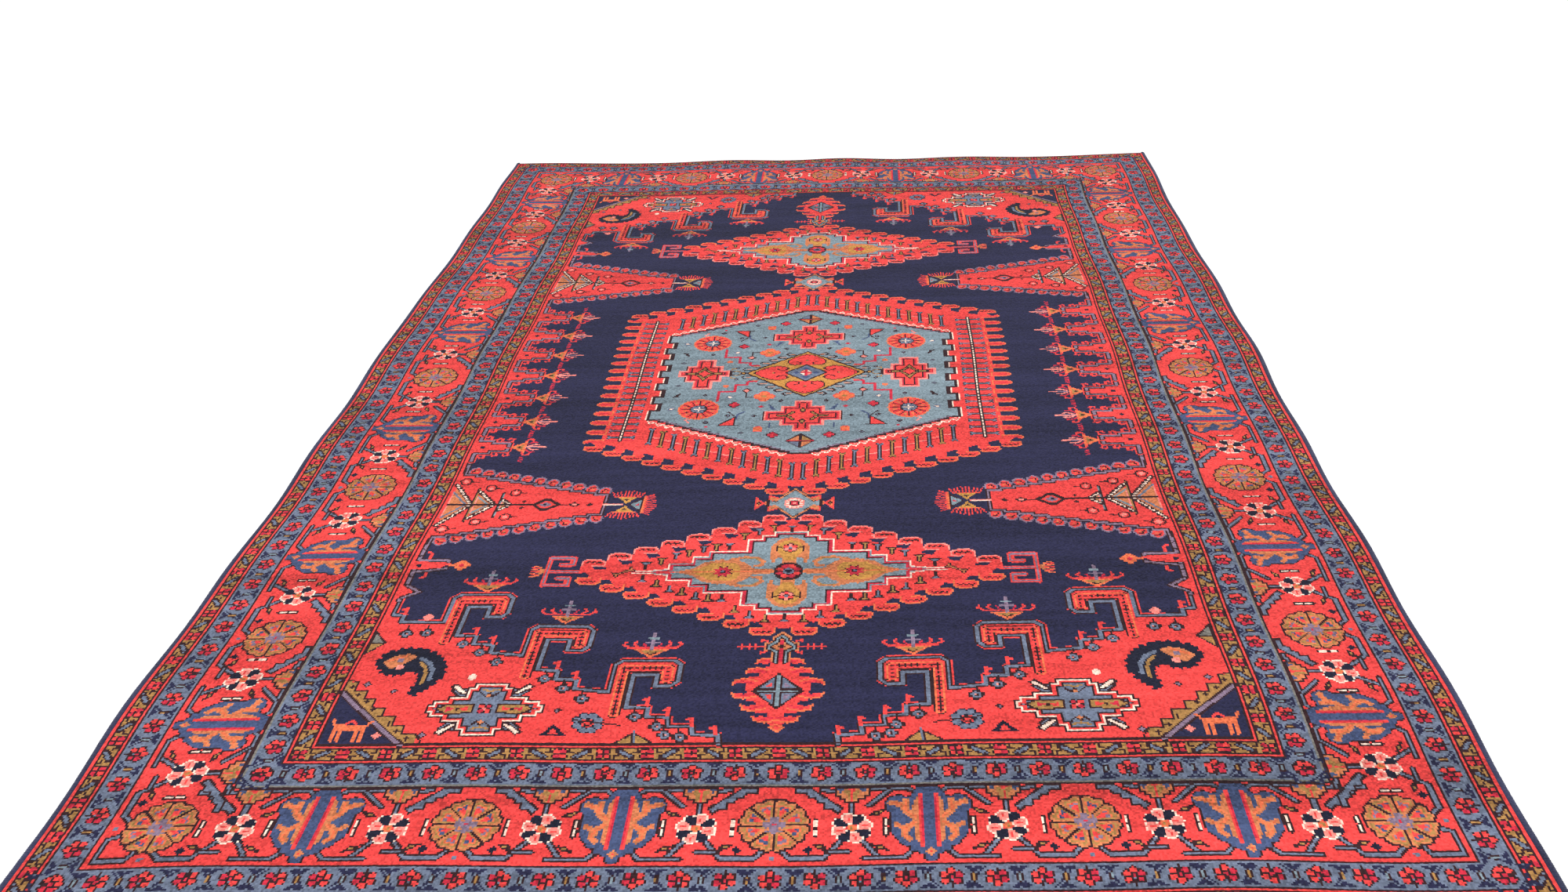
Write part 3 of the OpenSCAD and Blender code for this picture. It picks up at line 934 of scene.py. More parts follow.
def pendant(hand):
    """Red lozenge with a stepped pale middle; v runs outwards."""
    hand.area(quartered([(398, 4), (360, 18), (30, 166), (0, 176)]), RED)
    for side in (-1, 1):
        for end in (-1, 1):
            half = hand.move((0, 0), (side, end))
            edge = ORANGE if end > 0 else PINK
            for i in range(8):
                curled_leaf(half.move((36 + i * 47.4, 180 - i * 21.8), (end, 1)), edge)
            half.area([(0, 0)] + PENDANT_STEPS + [(0, 131)], PALE)
            half.line(PENDANT_STEPS + [(0, 131)], IVORY, 3)
            shrunk = [(u - 4, max(v - 4.5, 0)) for u, v in PENDANT_STEPS]
            half.line(shrunk + [(0, 126)], MAGENTA, 4)
            shrunk = [(u - 8, max(v - 8, 0)) for u, v in PENDANT_STEPS]
            half.line(shrunk[3:] + [(0, 122)], DARK, 2.6)
            for i, foot in enumerate(TULIPS):
                tulip(half.move(foot), OLIVE if i % 2 else STEEL)
            tulip(half.move((34, 136)), OLIVE)
            tulip(half.spin(-60 * end, (306, 0)), CAMEL)
    for half in hand.halves_along():
        tulip(half.move((0, 134)), STEEL)
        cloud = [(30, 24), (38, 50), (36, 84), (20, 106), (0, 114)]
        half.area([(-30, 24)] + mirrored(cloud), CAMEL)
        half.area(mirrored([(8, 34), (22, 62), (26, 84), (12, 100), (0, 104)]), GOLD)
        half.area([(12, 26), (30, 22), (24, 46), (12, 46)], PALE)
        half.area([(-12, 26), (-30, 22), (-24, 46), (-12, 46)], PALE)
        half.bloom((0, 77), 6, 9, 4.5, [RED, PINK], DARK, 30)
        half.dot((0, 77), 3.5, STEEL)
        for side in (-1, 1):
            half.line([(side * 15, 77), (side * 25, 82), (side * 25, 66)], DARK)
    for half in hand.halves_across():
        bulge = [(212, 0), (176, 12), (158, 30), (128, 40), (96, 38), (78, 26), (66, 10), (24, 6)]
        half.area(bulge + [(u, -v) for u, v in reversed(bulge)], CAMEL)
        bulge = [(186, 0), (160, 14), (146, 26), (122, 30), (98, 26), (88, 12)]
        half.area(bulge + [(u, -v) for u, v in reversed(bulge)], GOLD)
        half.line([(24, 0), (205, 0)], ORANGE, 5)
        for curl in half.halves_along():
            curl.line([(110, 38), (84, 46), (60, 44), (48, 34), (50, 20), (64, 18)], CAMEL, 8)
            curl.line([(84, 44), (62, 42), (54, 32)], OLIVE)
        for tip, dent, dye in ((24, 12, DARK), (18, 10, MAGENTA)):
            star = [ray((121, 0), tip if i % 2 else dent, 22.5 * i) for i in range(16)]
            half.area(star, dye)
        half.dot((121, 0), 6, DARK)
        half.dot((121, 0), 3.4, STEEL)
        half.cord([(392, 0), (452, 0)], MAUVE, 5, RED)
        half.cord([(452, -44), (452, 44)], MAUVE, 5, RED)
        for hook in half.halves_along():
            hook.cord([(452, 44), (406, 44), (406, 22), (428, 22)], MAUVE, 4.5, RED)
        half.area([(456, -5), (466, -14), (466, 14), (456, 5)], CAMEL)
        for i in range(-3, 4):
            half.line([(466, i * 4.4), (480, i * 6)], ORANGE if i % 2 else RED, 3.4)
    hand.dot((0, 0), 28, DARK)
    hand.bloom((0, 0), 8, 17, 6.4, [RED, MAGENTA], DARK, 22.5)
    hand.dot((0, 0), 10, STEEL)
    hand.dot((0, 0), 6, BLACK)


HEAD_Y = 1035


def finial(hand):
    """Red lozenge edged with hooked leaves, round a divided diamond, with a head before it."""
    body = [(0, -FINIAL_REACH), (22, -80), (38, -58), (54, -24), (54, 12), (40, 42), (24, 70)]
    hooks = ((38, -76, 1), (53, -51, 1), (72, -22, 1), (71, 10, -1), (54, 41, -1), (34, 69, -1))
    leaf = [(-44, 12), (-36, -4), (-16, -10), (-1, -6), (3, 6), (-5, 3), (-18, 2), (-26, 12)]
    for half in hand.halves_across():
        half.area(body + [(0, FINIAL_REACH)], RED)
        for u, v, way in hooks:
            hook = half.move((u, v), (1, way))
            hook.area([(-20, 4), (-6, 6), (-2, 14), (-12, 15), (-20, 12)], NAVY)
            hook.area(leaf, RED)
            hook.line(leaf[1:5], ORANGE)
            hook.line([(-32, 3), (-12, -3)], MAGENTA)
    hand.area([(0, 80), (-13, 91), (0, 102), (13, 91)], ORANGE)
    hand.area([(0, 85), (-6, 91), (0, 97), (6, 91)], RED)
    hand.area(quartered([(43, 0), (0, 47)]), DARK)
    for u, v in ((-1, -1), (1, -1), (-1, 1), (1, 1)):
        hand.area([(6 * u, 6 * v), (32 * u, 6 * v), (6 * u, 36 * v)], STEEL)
        hand.area([(9 * u, 9 * v), (22 * u, 9 * v), (9 * u, 25 * v)], RED if u < 0 else MAUVE)
    hand.line([(-32, 0), (32, 0)], PALE, 4)
    hand.line([(0, -38), (0, 38)], PALE, 4)
    head = hand.move((0, HEAD_Y - FINIAL_Y))
    outline = [(0, -40), (16, -26), (16, -12), (30, -8), (30, 12), (15, 16), (15, 42)]
    head.area(mirrored(outline), CAMEL)
    for arm in head.halves_across():
        arm.cord([(8, 44), (8, 16), (22, 7), (22, -1), (11, -8), (8, -20), (0, -28)], PALE, 4)
        arm.line([(30, 2), (72, 2)], RED, 5)
        for u in (44, 56, 68):
            arm.line([(u, -6), (u, 10)], RED, 3.4)
        arm.line([(26, 16), (36, 22), (36, 14)], RED, 4)
        arm.line([(24, -12), (34, -18), (34, -10)], RED, 4)
    head.line([(0, -16), (0, 42)], MAGENTA, 4.5)
    head.diamond((0, 2), 7, DARK)


def field_axis():
    """Links, pendants and finials on the rug's long centre line."""
    for end in Knotter().halves_along():
        finial(end.move((0, FINIAL_Y)))
        pendant(end.move((0, PENDANT_Y)))
        link(end.move((0, LINK_Y)))


# ---- Field: spandrels ------------------------------------------------------------

# The outline of one key, and the places in a quarter of the field where the keys start.
KEY = [(0, 0), (0, -72), (-12, -83), (-98, -83), (-110, -72), (-110, -27), (-100, -15), (-74, -15)]
KEY += [(-74, -45), (-34, -45), (-34, 38), (-70, 40), (-70, 62), (-106, 64), (-106, 86)]
KEY_AT = [(606, 968), (441, 1062), (276, 1156)]


def crown(hand):
    """Finial on a key: a V with curls and a small cross on top; v runs to the tip."""
    hand.area([(0, 0), (-32, 24), (32, 24)], ORANGE)
    hand.area([(0, 6), (-20, 20), (20, 20)], OLIVE)
    hand.line([(-8, 14), (0, 8), (8, 14)], DARK)
    hand.line([(-40, 27), (40, 27)], RED, 5)
    for half in hand.halves_across():
        half.line([(38, 27), (50, 36), (46, 43)], RED, 4.5)
        half.line([(22, 28), (32, 38), (28, 45)], RED, 4.5)
        half.line([(10, 28), (16, 40)], MAGENTA, 4)
    hand.line([(0, 24), (0, 66)], MAUVE, 7)
    hand.line([(-11, 42), (11, 42)], MAUVE, 5)
    hand.line([(-7, 54), (7, 54)], PALE, 5)


def key_strip(hand):
    """Stitched strip that follows the inside of a key."""
    path = [(-17, 54), (-17, -62), (-91, -62), (-91, -32)]
    for width, dye in ((20, DARK), (17, ORANGE), (12, RED)):
        hand.line(path, dye, width)
    for (u0, v0), (u1, v1) in zip(path, path[1:]):
        steps = round(math.hypot(u1 - u0, v1 - v0) / 11)
        for i in range(steps + 1):
            spot = (u0 + (u1 - u0) * i / steps, v0 + (v1 - v0) * i / steps)
            hand.plus(spot, 3.4, DARK, 2.6)


def inward_hook(hand, u, v):
    """Short red hook that grows out of an outline into the navy."""
    hand.line([(u, v), (u, v - 18), (u + 7, v - 14)], RED, 6)


def steel_bud(hand, at):
    """Small squarish bud hanging on a short stem."""
    hand.area(toothed(spread(at, 13), 9, 3), DARK)
    hand.dot(at, 8, STEEL)
    hand.dot(at, 3.6, DARK)
    hand.dot((at[0] - 1, at[1]), 1.8, PINK)
    hand.line([(at[0], at[1] - 10), (at[0] + 2, at[1] - 22)], DARK)


def boteh(hand):
    """Curled leaf with a toothed edge."""
    outer = [(690, 1080), (680, 1054), (650, 1042), (618, 1044), (590, 1058), (570, 1084)]
    outer += [(564, 1114), (578, 1142), (602, 1166), (608, 1150), (600, 1128), (606, 1108)]
    outer += [(624, 1098), (642, 1112), (668, 1108)]
    hand.area(toothed(outer, 13, 7), BLACK)
    head = [(678, 1078), (664, 1062), (642, 1056), (622, 1062), (636, 1078), (656, 1096)]
    hand.area(head + [(668, 1092)], CAMEL)
    hand.line([(670, 1076), (644, 1062)], ORANGE, 4)
    hand.dot((650, 1074), 6, MAUVE)
    hand.dot((646, 1092), 7, PINK)
    hand.line([(616, 1068), (598, 1080), (586, 1100), (584, 1124)], STEEL, 8)
    hand.line([(612, 1080), (600, 1094), (595, 1112), (596, 1134)], OLIVE, 6)


def cross_flower(hand):
    """Stepped cross with pointed leaves on its diagonals."""
    for leaf in hand.corners():
        leaf.patch([(24, 26), (38, 50), (62, 54), (66, 46), (46, 26)], STEEL)
        leaf.patch([(36, 38), (60, 62), (70, 56), (46, 36)], IVORY)
    outline = [(94, 7), (86, 7), (86, 17), (64, 17), (64, 29), (36, 29), (36, 50), (26, 50)]
    outline += [(26, 62)]
    for grow, dye in ((4, DARK), (1, IVORY), (-2, RED), (-6, DARK), (-9, STEEL)):
        hand.area(quartered(grown(outline, grow)), dye)
    for arm in hand.halves_across():
        arm.patch([(20, -10), (62, -12), (80, 0), (62, 12), (20, 10)], OLIVE)
        arm.area([(28, -6), (44, 0), (28, 6)], RED)
        arm.area([(62, -6), (48, 0), (62, 6)], MAGENTA)
        arm.dot((45, 0), 3.6, DARK)
    for arm in hand.halves_along():
        arm.line([(-16, 42), (-6, 30), (0, 40), (6, 30), (16, 42)], DARK)
        arm.line([(-13, 48), (0, 44), (13, 48)], OLIVE, 4)
        arm.diamond((0, 32), 5, CAMEL)
    hand.bloom((0, 0), 4, 8, 4.5, [MAGENTA, RED], DARK, 45)
    hand.dot((0, 0), 3, PINK)


def corner_scene(hand):
    """Triangle in the field's corner, with a four-legged animal and a star."""
    hand.area([(722, 1150), (722, 1285), (584, 1285)], NAVY)
    slope = stairs((702, 1132), (570, 1262), 6, rise_first=True)
    hand.area([(722, 1128)] + slope + [(570, 1285), (588, 1285), (722, 1158)], OLIVE)
    hand.line([(722, 1126)] + [(u, v - 2) for u, v in slope] + [(556, 1285)], DARK)
    for i in range(8):
        hand.plus((710 - 18 * i, 1144 + 18 * i), 4, DARK, 3)
    hand.cord([(722, 1156), (590, 1285)], MAUVE, 7)
    hand.area([(708, 1234), (708, 1252), (654, 1252), (654, 1238)], ORANGE)
    for u in (704, 694, 668, 658):
        hand.line([(u, 1250), (u, 1274)], ORANGE, 4.5)
    hand.line([(708, 1236), (712, 1222)], ORANGE, 5)
    hand.line([(656, 1240), (648, 1228)], ORANGE, 5)
    hand.line([(690, 1234), (682, 1226), (674, 1234)], RED, 5)
    hand.diamond((634, 1262), 8, PINK)
    hand.area([(722, 990), (722, 1062), (690, 1026)], DARK)
    hand.area([(719, 998), (719, 1024), (698, 1024)], GREY)
    hand.area([(719, 1054), (719, 1030), (698, 1030)], OLIVE)


def spandrel(quarter):
    """Red corner of the field with three keys along its slope."""
    foot = FIELD_L - SPANDREL_L
    path = [(FIELD_W - 16, foot), (FIELD_W - 16, 946), (684, 948), (684, 966)]
    for u0, v0 in KEY_AT:
        path += [(u0 + u, v0 + v) for u, v in KEY]
    path += [(132, 1242), (132, 1262), (92, 1264), (92, FIELD_L)]
    quarter.area([(FIELD_W, FIELD_L), (FIELD_W, foot)] + path, RED)
    quarter.line(path, RED, 15)
    quarter.line(path, DARK, 11.5)
    quarter.line(path, STEEL, 5.5)
    for u0, v0 in KEY_AT:
        key = quarter.move((u0, v0))
        key_strip(key)
        crown(key.move((-55, -90), (1, -1)))
        for u, v in ((-68, 34), (-104, 60)):
            inward_hook(key, u, v)
        for u, v in ((-52, 62), (-88, 86), (-124, 112)):
            steel_bud(key, (u, v))
    for spot in ((664, 1000), (628, 998), (176, 1262)):
        steel_bud(quarter, spot)
    for u, v in ((684, 944), (132, 1240), (96, 1262)):
        inward_hook(quarter, u, v)
    quarter.diamond((638, 952), 11, PINK)
    boteh(quarter)
    cross_flower(quarter.move((472, 1200)))
    quarter.dot((512, 1120), 7.5, IVORY)
    quarter.bloom((298, 1233), 8, 18, 6.5, [STEEL], BLACK, 22.5)
    quarter.dot((298, 1233), 8, DARK)
    quarter.dot((298, 1233), 5, RED)
    quarter.line([(322, 1226), (270, 1234), (246, 1238)], DARK, 3)
    quarter.area([(328, 1264), (352, 1238), (376, 1264)], BLACK)
    quarter.area([(342, 1260), (352, 1248), (362, 1260)], RED)
    quarter.area([(190, 1282), (224, 1254), (258, 1282)], DARK)
    quarter.area([(200, 1279), (220, 1262), (220, 1279)], OLIVE)
    quarter.area([(248, 1279), (228, 1262), (228, 1279)], OLIVE)
    quarter.line([(224, 1252), (224, 1282)], STEEL)
    for spot in ((636, 1154), (352, 1204), (686, 1136), (560, 1262)):
        quarter.diamond(spot, 8, DARK)
        quarter.diamond(spot, 4, MAUVE)
    corner_scene(quarter)


def field():
    """The navy ground, then the spandrels, the sides, the medallion and the long axis."""
    chart[inset_knots >= round(FIELD_AT / KNOT_W)] = NAVY
    for quarter in quarters():
        spandrel(quarter)
    field_sides()
    medallion()
    heart()
    field_axis()
    for half in Knotter().halves_along():
        half.line([(-FIELD_W, FIELD_L - 2), (FIELD_W, FIELD_L - 2)], DARK)


borders()
field()


# ---- How the rug lies ---------------------------------------------------------------


# Metres: how far the sides and ends lift and how far inwards that reaches, how far the
# edges wander and the middle swells, and how far the field's middle has drifted to one
# side and towards the near end.
SIDE_LIFT = 0.0035
SIDE_LIFT_REACH = 0.09
END_LIFT = 0.0045
END_LIFT_REACH = 0.11
WANDER = 0.0035
SWELL = 0.0006
AXIS_DRIFT = 0.012
FAR_DRIFT = 0.026
NEAR_DRIFT = 0.008


def wave(place, length, start=0.0):
    """A sine along the rug or across it, with its wave length in metres and its start."""
    return np.sin(2 * math.pi * place / length + start)


def lie(points):
    """Moves points in metres from the flat rug to the rug as it lies: edges lift and wander."""
    x, y, z = points.T
    to_side = np.maximum(PILE_W * MM - abs(x), 0)
    to_end = np.maximum(PILE_L * MM - abs(y), 0)
    side_wave = 0.5 + 0.5 * wave(y, 0.71, 1.1 * np.sign(x) + 0.7 * np.sin(3.1 * y))
    end_wave = 0.5 + 0.5 * wave(x, 0.46, 0.9 * np.sign(y) + 0.8 * np.sin(4.3 * x))
    lift = SIDE_LIFT * side_wave * np.exp(-to_side / SIDE_LIFT_REACH)
    lift = lift + END_LIFT * end_wave * np.exp(-to_end / END_LIFT_REACH)
    lift = lift + SWELL * (1 + wave(y + 0.25 * x, 0.83) * wave(x - 0.2 * y, 1.27, 0.6))
    across = np.maximum(1 - (x / FIELD_W / MM) ** 2, 0)
    along = np.clip((FIELD_L + 30 - abs(y) / MM) / 90, 0, 1)
    x = x - AXIS_DRIFT * across * along
    drift = np.where(y > 0, FAR_DRIFT, NEAR_DRIFT) * across
    y = y - drift * np.sin(math.pi * np.minimum(abs(y) / MM / FIELD_L, 1))
    wander_x = WANDER * wave(y, 1.37, 0.4) + 0.0026 * wave(y, 0.43)
    wander_y = WANDER * wave(x, 1.13, 1.9) + 0.0012 * wave(x, 0.37)
    x = x + wander_x * x / PILE_W / MM
    y = y + wander_y * y / PILE_L / MM
    return np.stack([x, y, z + lift], 1)


# ---- Materials ------------------------------------------------------------------------


def linear(colour):
    """Linear values of a colour given from 0 to 255, with full alpha."""
    parts = [part / 255 for part in colour]
    return tuple(p / 12.92 if p <= 0.04045 else ((p + 0.055) / 1.055) ** 2.4 for p in parts) + (1.0,)


class Value:
    """A number that varies over a surface, with arithmetic that adds Math nodes."""

    def __init__(self, finish, socket):
        self.finish = finish
        self.socket = socket

    def _math(self, operation, first, second):
        node = self.finish.node("ShaderNodeMath", {"operation": operation}, {0: first, 1: second})
        return Value(self.finish, node.outputs[0])

    def __add__(self, other):
        return self._math("ADD", self, other)

    __radd__ = __add__

    def __sub__(self, other):
        return self._math("SUBTRACT", self, other)

    def __rsub__(self, other):
        return self._math("SUBTRACT", other, self)

    def __mul__(self, other):
        return self._math("MULTIPLY", self, other)

    __rmul__ = __mul__


class Finish:
    """A material under construction, with one method that adds any node."""

    def __init__(self, name):
        self.material = bpy.data.materials.new(name)
        self.material.use_nodes = True
        self.tree = self.material.node_tree
        self.shader = self.tree.nodes["Principled BSDF"]

    def node(self, kind, settings=None, inputs=None):
        """Any node, from its type, then its settings, then its socket values and links."""
        made = self.tree.nodes.new(kind)
        for key, value in (settings or {}).items():
            setattr(made, key, value)
        for key, value in (inputs or {}).items():
            self.feed(made.inputs[key], value)
        return made

    def feed(self, socket, value):
        """Links a value or a socket to an input, or sets the input to a constant."""
        if isinstance(value, Value):
            value = value.socket
        if isinstance(value, bpy.types.NodeSocket):
            self.tree.links.new(value, socket)
        else:
            socket.default_value = value

    def value(self, socket):
        """A socket with arithmetic."""
        return Value(self, socket)

    def attribute(self, name):
        """A value kept on each face."""
        node = self.node("ShaderNodeAttribute", {"attribute_name": name})
        return self.value(node.outputs["Fac"])

    def place(self):
        """The place on the object."""
        return self.node("ShaderNodeTexCoord").outputs["Object"]

    def noise(self, scale, detail=2.0, stretch=None):
        """Soft random variation, stretched differently in each direction if so asked."""
        where = self.place()
        if stretch:
            stretched = {"Vector": where, "Scale": stretch}
            where = self.node("ShaderNodeMapping", {}, stretched).outputs[0]
        inputs = {"Vector": where, "Scale": scale, "Detail": detail}
        return self.value(self.node("ShaderNodeTexNoise", {}, inputs).outputs["Fac"])

    def ramp(self, factor, stops, constant=False):
        """A colour picked from stops by a factor."""
        node = self.node("ShaderNodeValToRGB", {}, {"Fac": factor})
        ramp = node.color_ramp
        ramp.interpolation = "CONSTANT" if constant else "LINEAR"
        while len(ramp.elements) < len(stops):
            ramp.elements.new(1.0)
        for element, (at, colour) in zip(ramp.elements, stops):
            element.position = at
            element.color = colour
        return node.outputs["Color"]

    def vector_math(self, operation, inputs):
        """A sum on colours or vectors."""
        return self.node("ShaderNodeVectorMath", {"operation": operation}, inputs).outputs[0]

    def bump(self, height, strength, distance):
        """Fine relief."""
        inputs = {"Height": height, "Strength": strength, "Distance": distance}
        bumped = self.node("ShaderNodeBump", {}, inputs)
        self.feed(self.shader.inputs["Normal"], bumped.outputs["Normal"])

    def set(self, **values):
        """Sets or links the shader's inputs; an underscore stands for a space."""
        for key, value in values.items():
            self.feed(self.shader.inputs[key.replace("_", " ")], value)
        return self.material


# No wool is brighter than this, however light its knots are.
BRIGHTEST = (0.92, 0.92, 0.92)


def wool_pile():
    """Cut wool: dyes from the chart, bands of abrash with the pile's lustre painted in, knot by knot
    shade with painted shade on the walls, and fibre ends.
    """
    finish = Finish("wool_pile")
    count = len(DYES)
    stops = [(i / count, linear(colour)) for i, colour in enumerate(DYES.values())]
    colour = finish.ramp(finish.attribute("dye"), stops, constant=True)
    abrash = finish.noise(1.0, 2.0, (0.35, 9.0, 1.0))
    streaks = finish.noise(1.0, 3.0, (4.0, 55.0, 1.0))
    blotch = finish.noise(7.0, 3.0)
    fibres = finish.noise(420.0, 2.0, (1.0, 0.6, 1.0))
    # Lighter and darker bands, streaks and blotches: abrash of the dye lots, with the pile's lustre
    # painted into the colour as well.
    abrash_and_lustre = abrash * 1.1 + streaks * 0.8 + blotch * 0.22
    shade = abrash_and_lustre + fibres * 0.24 + finish.attribute("shade") * 0.60 - 0.48
    shaded = finish.vector_math("SCALE", {0: colour, "Scale": shade})
    finish.set(
        Base_Color=finish.vector_math("MINIMUM", {0: shaded, 1: BRIGHTEST}),
        Roughness=0.92,
        Sheen_Weight=0.04,
        Sheen_Roughness=0.6,
        Specular_IOR_Level=0.08,
    )
    finish.bump(fibres + finish.noise(900.0, 1.0) * 0.5, 0.55, 0.0012)
    return finish.material


def overcast_wool(name, dark, light):
    """Wool yarn wound round and round, with its twist."""
    finish = Finish(name)
    strands = finish.noise(650.0, 2.0, (0.5, 1.0, 1.0))
    worn = finish.noise(9.0, 3.0)
    mix = strands * 0.6 + worn * 0.5 - 0.05
    finish.set(
        Base_Color=finish.ramp(mix, [(0.25, linear(dark)), (0.8, linear(light))]),
        Roughness=0.9,
        Sheen_Weight=0.2,
        Specular_IOR_Level=0.12,
    )
    finish.bump(strands, 0.5, 0.0008)
    return finish.material


def cotton(name, dark, light, stretch):
    """Spun cotton yarns lying side by side."""
    finish = Finish(name)
    yarns = finish.noise(500.0, 2.0, stretch)
    finish.set(
        Base_Color=finish.ramp(yarns, [(0.2, linear(dark)), (0.8, linear(light))]),
        Roughness=0.85,
        Specular_IOR_Level=0.15,
    )
    finish.bump(yarns, 0.4, 0.0008)
    return finish.material


# ---- Pile pieces -------------------------------------------------------------------------

# Millimetres: how far a knot's corners stray and rise, and how the pile slopes at its edge.
STRAY = 0.35
RISE = 0.45
SHOULDER_DROP = 2.2
SHOULDER_REACH = 2.5
# The share of a knot's own shade that its walls get; the walls come out darker, as painted shade down
# the pile's sides.
WALL_PAINTED_SHADE = 0.5

corner_x = np.arange(COLUMNS + 1) * KNOT_W - PILE_W
corner_y = np.arange(ROWS + 1) * KNOT_L - PILE_L
corner_shape = (ROWS + 1, COLUMNS + 1)
jitter = chance.uniform(-1, 1, corner_shape + (3,))
jitter[0] = jitter[-1] = 0
jitter[:, 0] = jitter[:, -1] = 0
edge_inset = np.minimum(PILE_W - abs(corner_x)[None, :], PILE_L - abs(corner_y)[:, None])
shoulder = SHOULDER_DROP * np.exp(-edge_inset / SHOULDER_REACH)
top_grid = np.stack(
    [
        corner_x[None, :] + STRAY * jitter[..., 0],
        corner_y[:, None] + STRAY * jitter[..., 1],
        PILE_TOP - RISE + RISE * jitter[..., 2] - shoulder,
    ],
    -1,
)
knot_shade = chance.uniform(0, 1, chart.shape).astype(np.float32)


def knots_of(node):
    """The knots whose middles lie under a node's top face."""
    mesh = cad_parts[node].data
    mesh.calc_loop_triangles()
    points = np.array([v.co for v in mesh.vertices], float) / MM
    inside = np.zeros(chart.shape, bool)
    for triangle in mesh.loop_triangles:
        corners = points[list(triangle.vertices)]
        if abs(triangle.normal[2]) < 0.9 or corners[:, 2].min() < PILE_TOP - 0.1:
            continue
        corners = corners[:, :2]
        a, b, c = corners
        rows, cols, x, y = window(corners.min(0), corners.max(0))
        covered = np.ones((y.shape[0], x.shape[1]), bool)
        turn = np.sign((b[0] - a[0]) * (c[1] - a[1]) - (b[1] - a[1]) * (c[0] - a[0]))
        for p, q in ((a, b), (b, c), (c, a)):
            covered &= turn * ((q[0] - p[0]) * (y - p[1]) - (q[1] - p[1]) * (x - p[0])) >= 0
        inside[rows, cols] |= covered
    return inside


def mesh_piece(name, points, quads, material, face_values=None, uv=None, flat=False):
    """An object from points in millimetres and faces of four corners, laid as the rug lies."""
    mesh = bpy.data.meshes.new(name)
    placed = lie(np.asarray(points, float) * MM)
    mesh.vertices.add(len(placed))
    mesh.vertices.foreach_set("co", placed.astype(np.float32).ravel())
    quads = np.asarray(quads, np.int32)
    mesh.loops.add(quads.size)
    mesh.loops.foreach_set("vertex_index", quads.ravel())
    mesh.polygons.add(len(quads))
    mesh.polygons.foreach_set("loop_start", np.arange(0, quads.size, 4, dtype=np.int32))
    mesh.polygons.foreach_set("loop_total", np.full(len(quads), 4, np.int32))
    mesh.update(calc_edges=True)
    mesh.polygons.foreach_set("use_smooth", np.full(len(quads), not flat))
    for key, values in (face_values or {}).items():
        layer = mesh.attributes.new(key, "FLOAT", "FACE")
        layer.data.foreach_set("value", values.astype(np.float32))
    if uv is not None:
        layer = mesh.uv_layers.new(name="OFBake")
        layer.data.foreach_set("uv", uv.astype(np.float32).ravel())
    mesh.materials.append(material)
    piece = bpy.data.objects.new(name, mesh)
    bpy.context.scene.collection.objects.link(piece)
    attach(piece, "root")
    return piece


def stand_for(piece, node):
    """Hides the imported node that a piece takes the place of."""
    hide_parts(node)


# Knots left free round each strip of a piece in the baked image.
MARGIN = 1.5


def bake_places(places, cols, rows):
    """Places in the unit square for corners of knots, folded into strips side by side."""
    places = places - [cols.min(), rows.min()]
    width, length = np.ptp(cols) + 1, np.ptp(rows) + 1
    if width > length:
        places = places[..., ::-1]
        width, length = length, width
    strips = max(1, round(math.sqrt(length / width)))
    strip_length = length / strips
    across, along = places[..., 0], places[..., 1]
    strip = np.floor(along.mean(1, keepdims=True) / strip_length).clip(0, strips - 1)
    pitch = width + 2 * MARGIN
    u = (along - strip * strip_length + MARGIN) / (strip_length + 2 * MARGIN)
    v = (across + MARGIN + strip * pitch) / (strips * pitch)
    return np.stack([u, v], -1)


# For each side of a knot: the step to its neighbour, and the two corners on that side.
KNOT_SIDES = (
    (-1, 0, (0, 0), (0, 1)),
    (0, 1, (0, 1), (1, 1)),
    (1, 0, (1, 1), (1, 0)),
    (0, -1, (1, 0), (0, 0)),
)


def pile_piece(name, inside, material):
    """Pile on the given knots: one facet for each knot, and walls down to the cotton."""
    rows, cols = np.nonzero(inside)
    quad_rows = rows[:, None] + np.array([0, 0, 1, 1])
    quad_cols = cols[:, None] + np.array([0, 1, 1, 0])
    number = np.full(corner_shape, -1, np.int64)
    used = np.zeros(corner_shape, bool)
    used[quad_rows, quad_cols] = True
    number[used] = np.arange(used.sum())
    points = [top_grid[used]]
    faces = [number[quad_rows, quad_cols]]
    places = [np.stack([quad_cols, quad_rows], -1).astype(float)]
    dyes = [chart[rows, cols]]
    shades = [knot_shade[rows, cols]]
    padded = np.pad(inside, 1)
    lower = np.full(corner_shape, -1, np.int64)
    walls = []
    for dr, dc, (r0, c0), (r1, c1) in KNOT_SIDES:
        bare = ~padded[rows + 1 + dr, cols + 1 + dc]
        walls.append((rows[bare], cols[bare], dr, dc, r0, c0, r1, c1))
        lower[rows[bare] + r0, cols[bare] + c0] = 0
        lower[rows[bare] + r1, cols[bare] + c1] = 0
    ring = lower == 0
    lower[ring] = used.sum() + np.arange(ring.sum())
    foot = top_grid[ring].copy()
    foot[:, 2] = GROUND_TOP
    points.append(foot)
    for r, c, dr, dc, r0, c0, r1, c1 in walls:
        start, end = (r + r0, c + c0), (r + r1, c + c1)
        faces.append(np.stack([number[start], lower[start], lower[end], number[end]], 1))
        uv = np.array([(c0, r0), (c0 + dc, r0 + dr), (c1 + dc, r1 + dr), (c1, r1)], float)
        places.append(np.stack([c, r], -1)[:, None, :] + uv[None])
        dyes.append(chart[r, c])
        # Walls take only part of the knot's shade value: painted shade on the pile's sides.
        shades.append(knot_shade[r, c] * WALL_PAINTED_SHADE)
    uv = bake_places(np.concatenate(places), cols, rows)
    values = {
        "dye": (np.concatenate(dyes) + 0.5) / len(DYES),
        "shade": np.concatenate(shades),
    }
    points = np.concatenate(points)
    return mesh_piece(name, points, np.concatenate(faces), material, values, uv, flat=True)


NOT_PILE = ("cotton", "selvedge", "kilim", "bound")


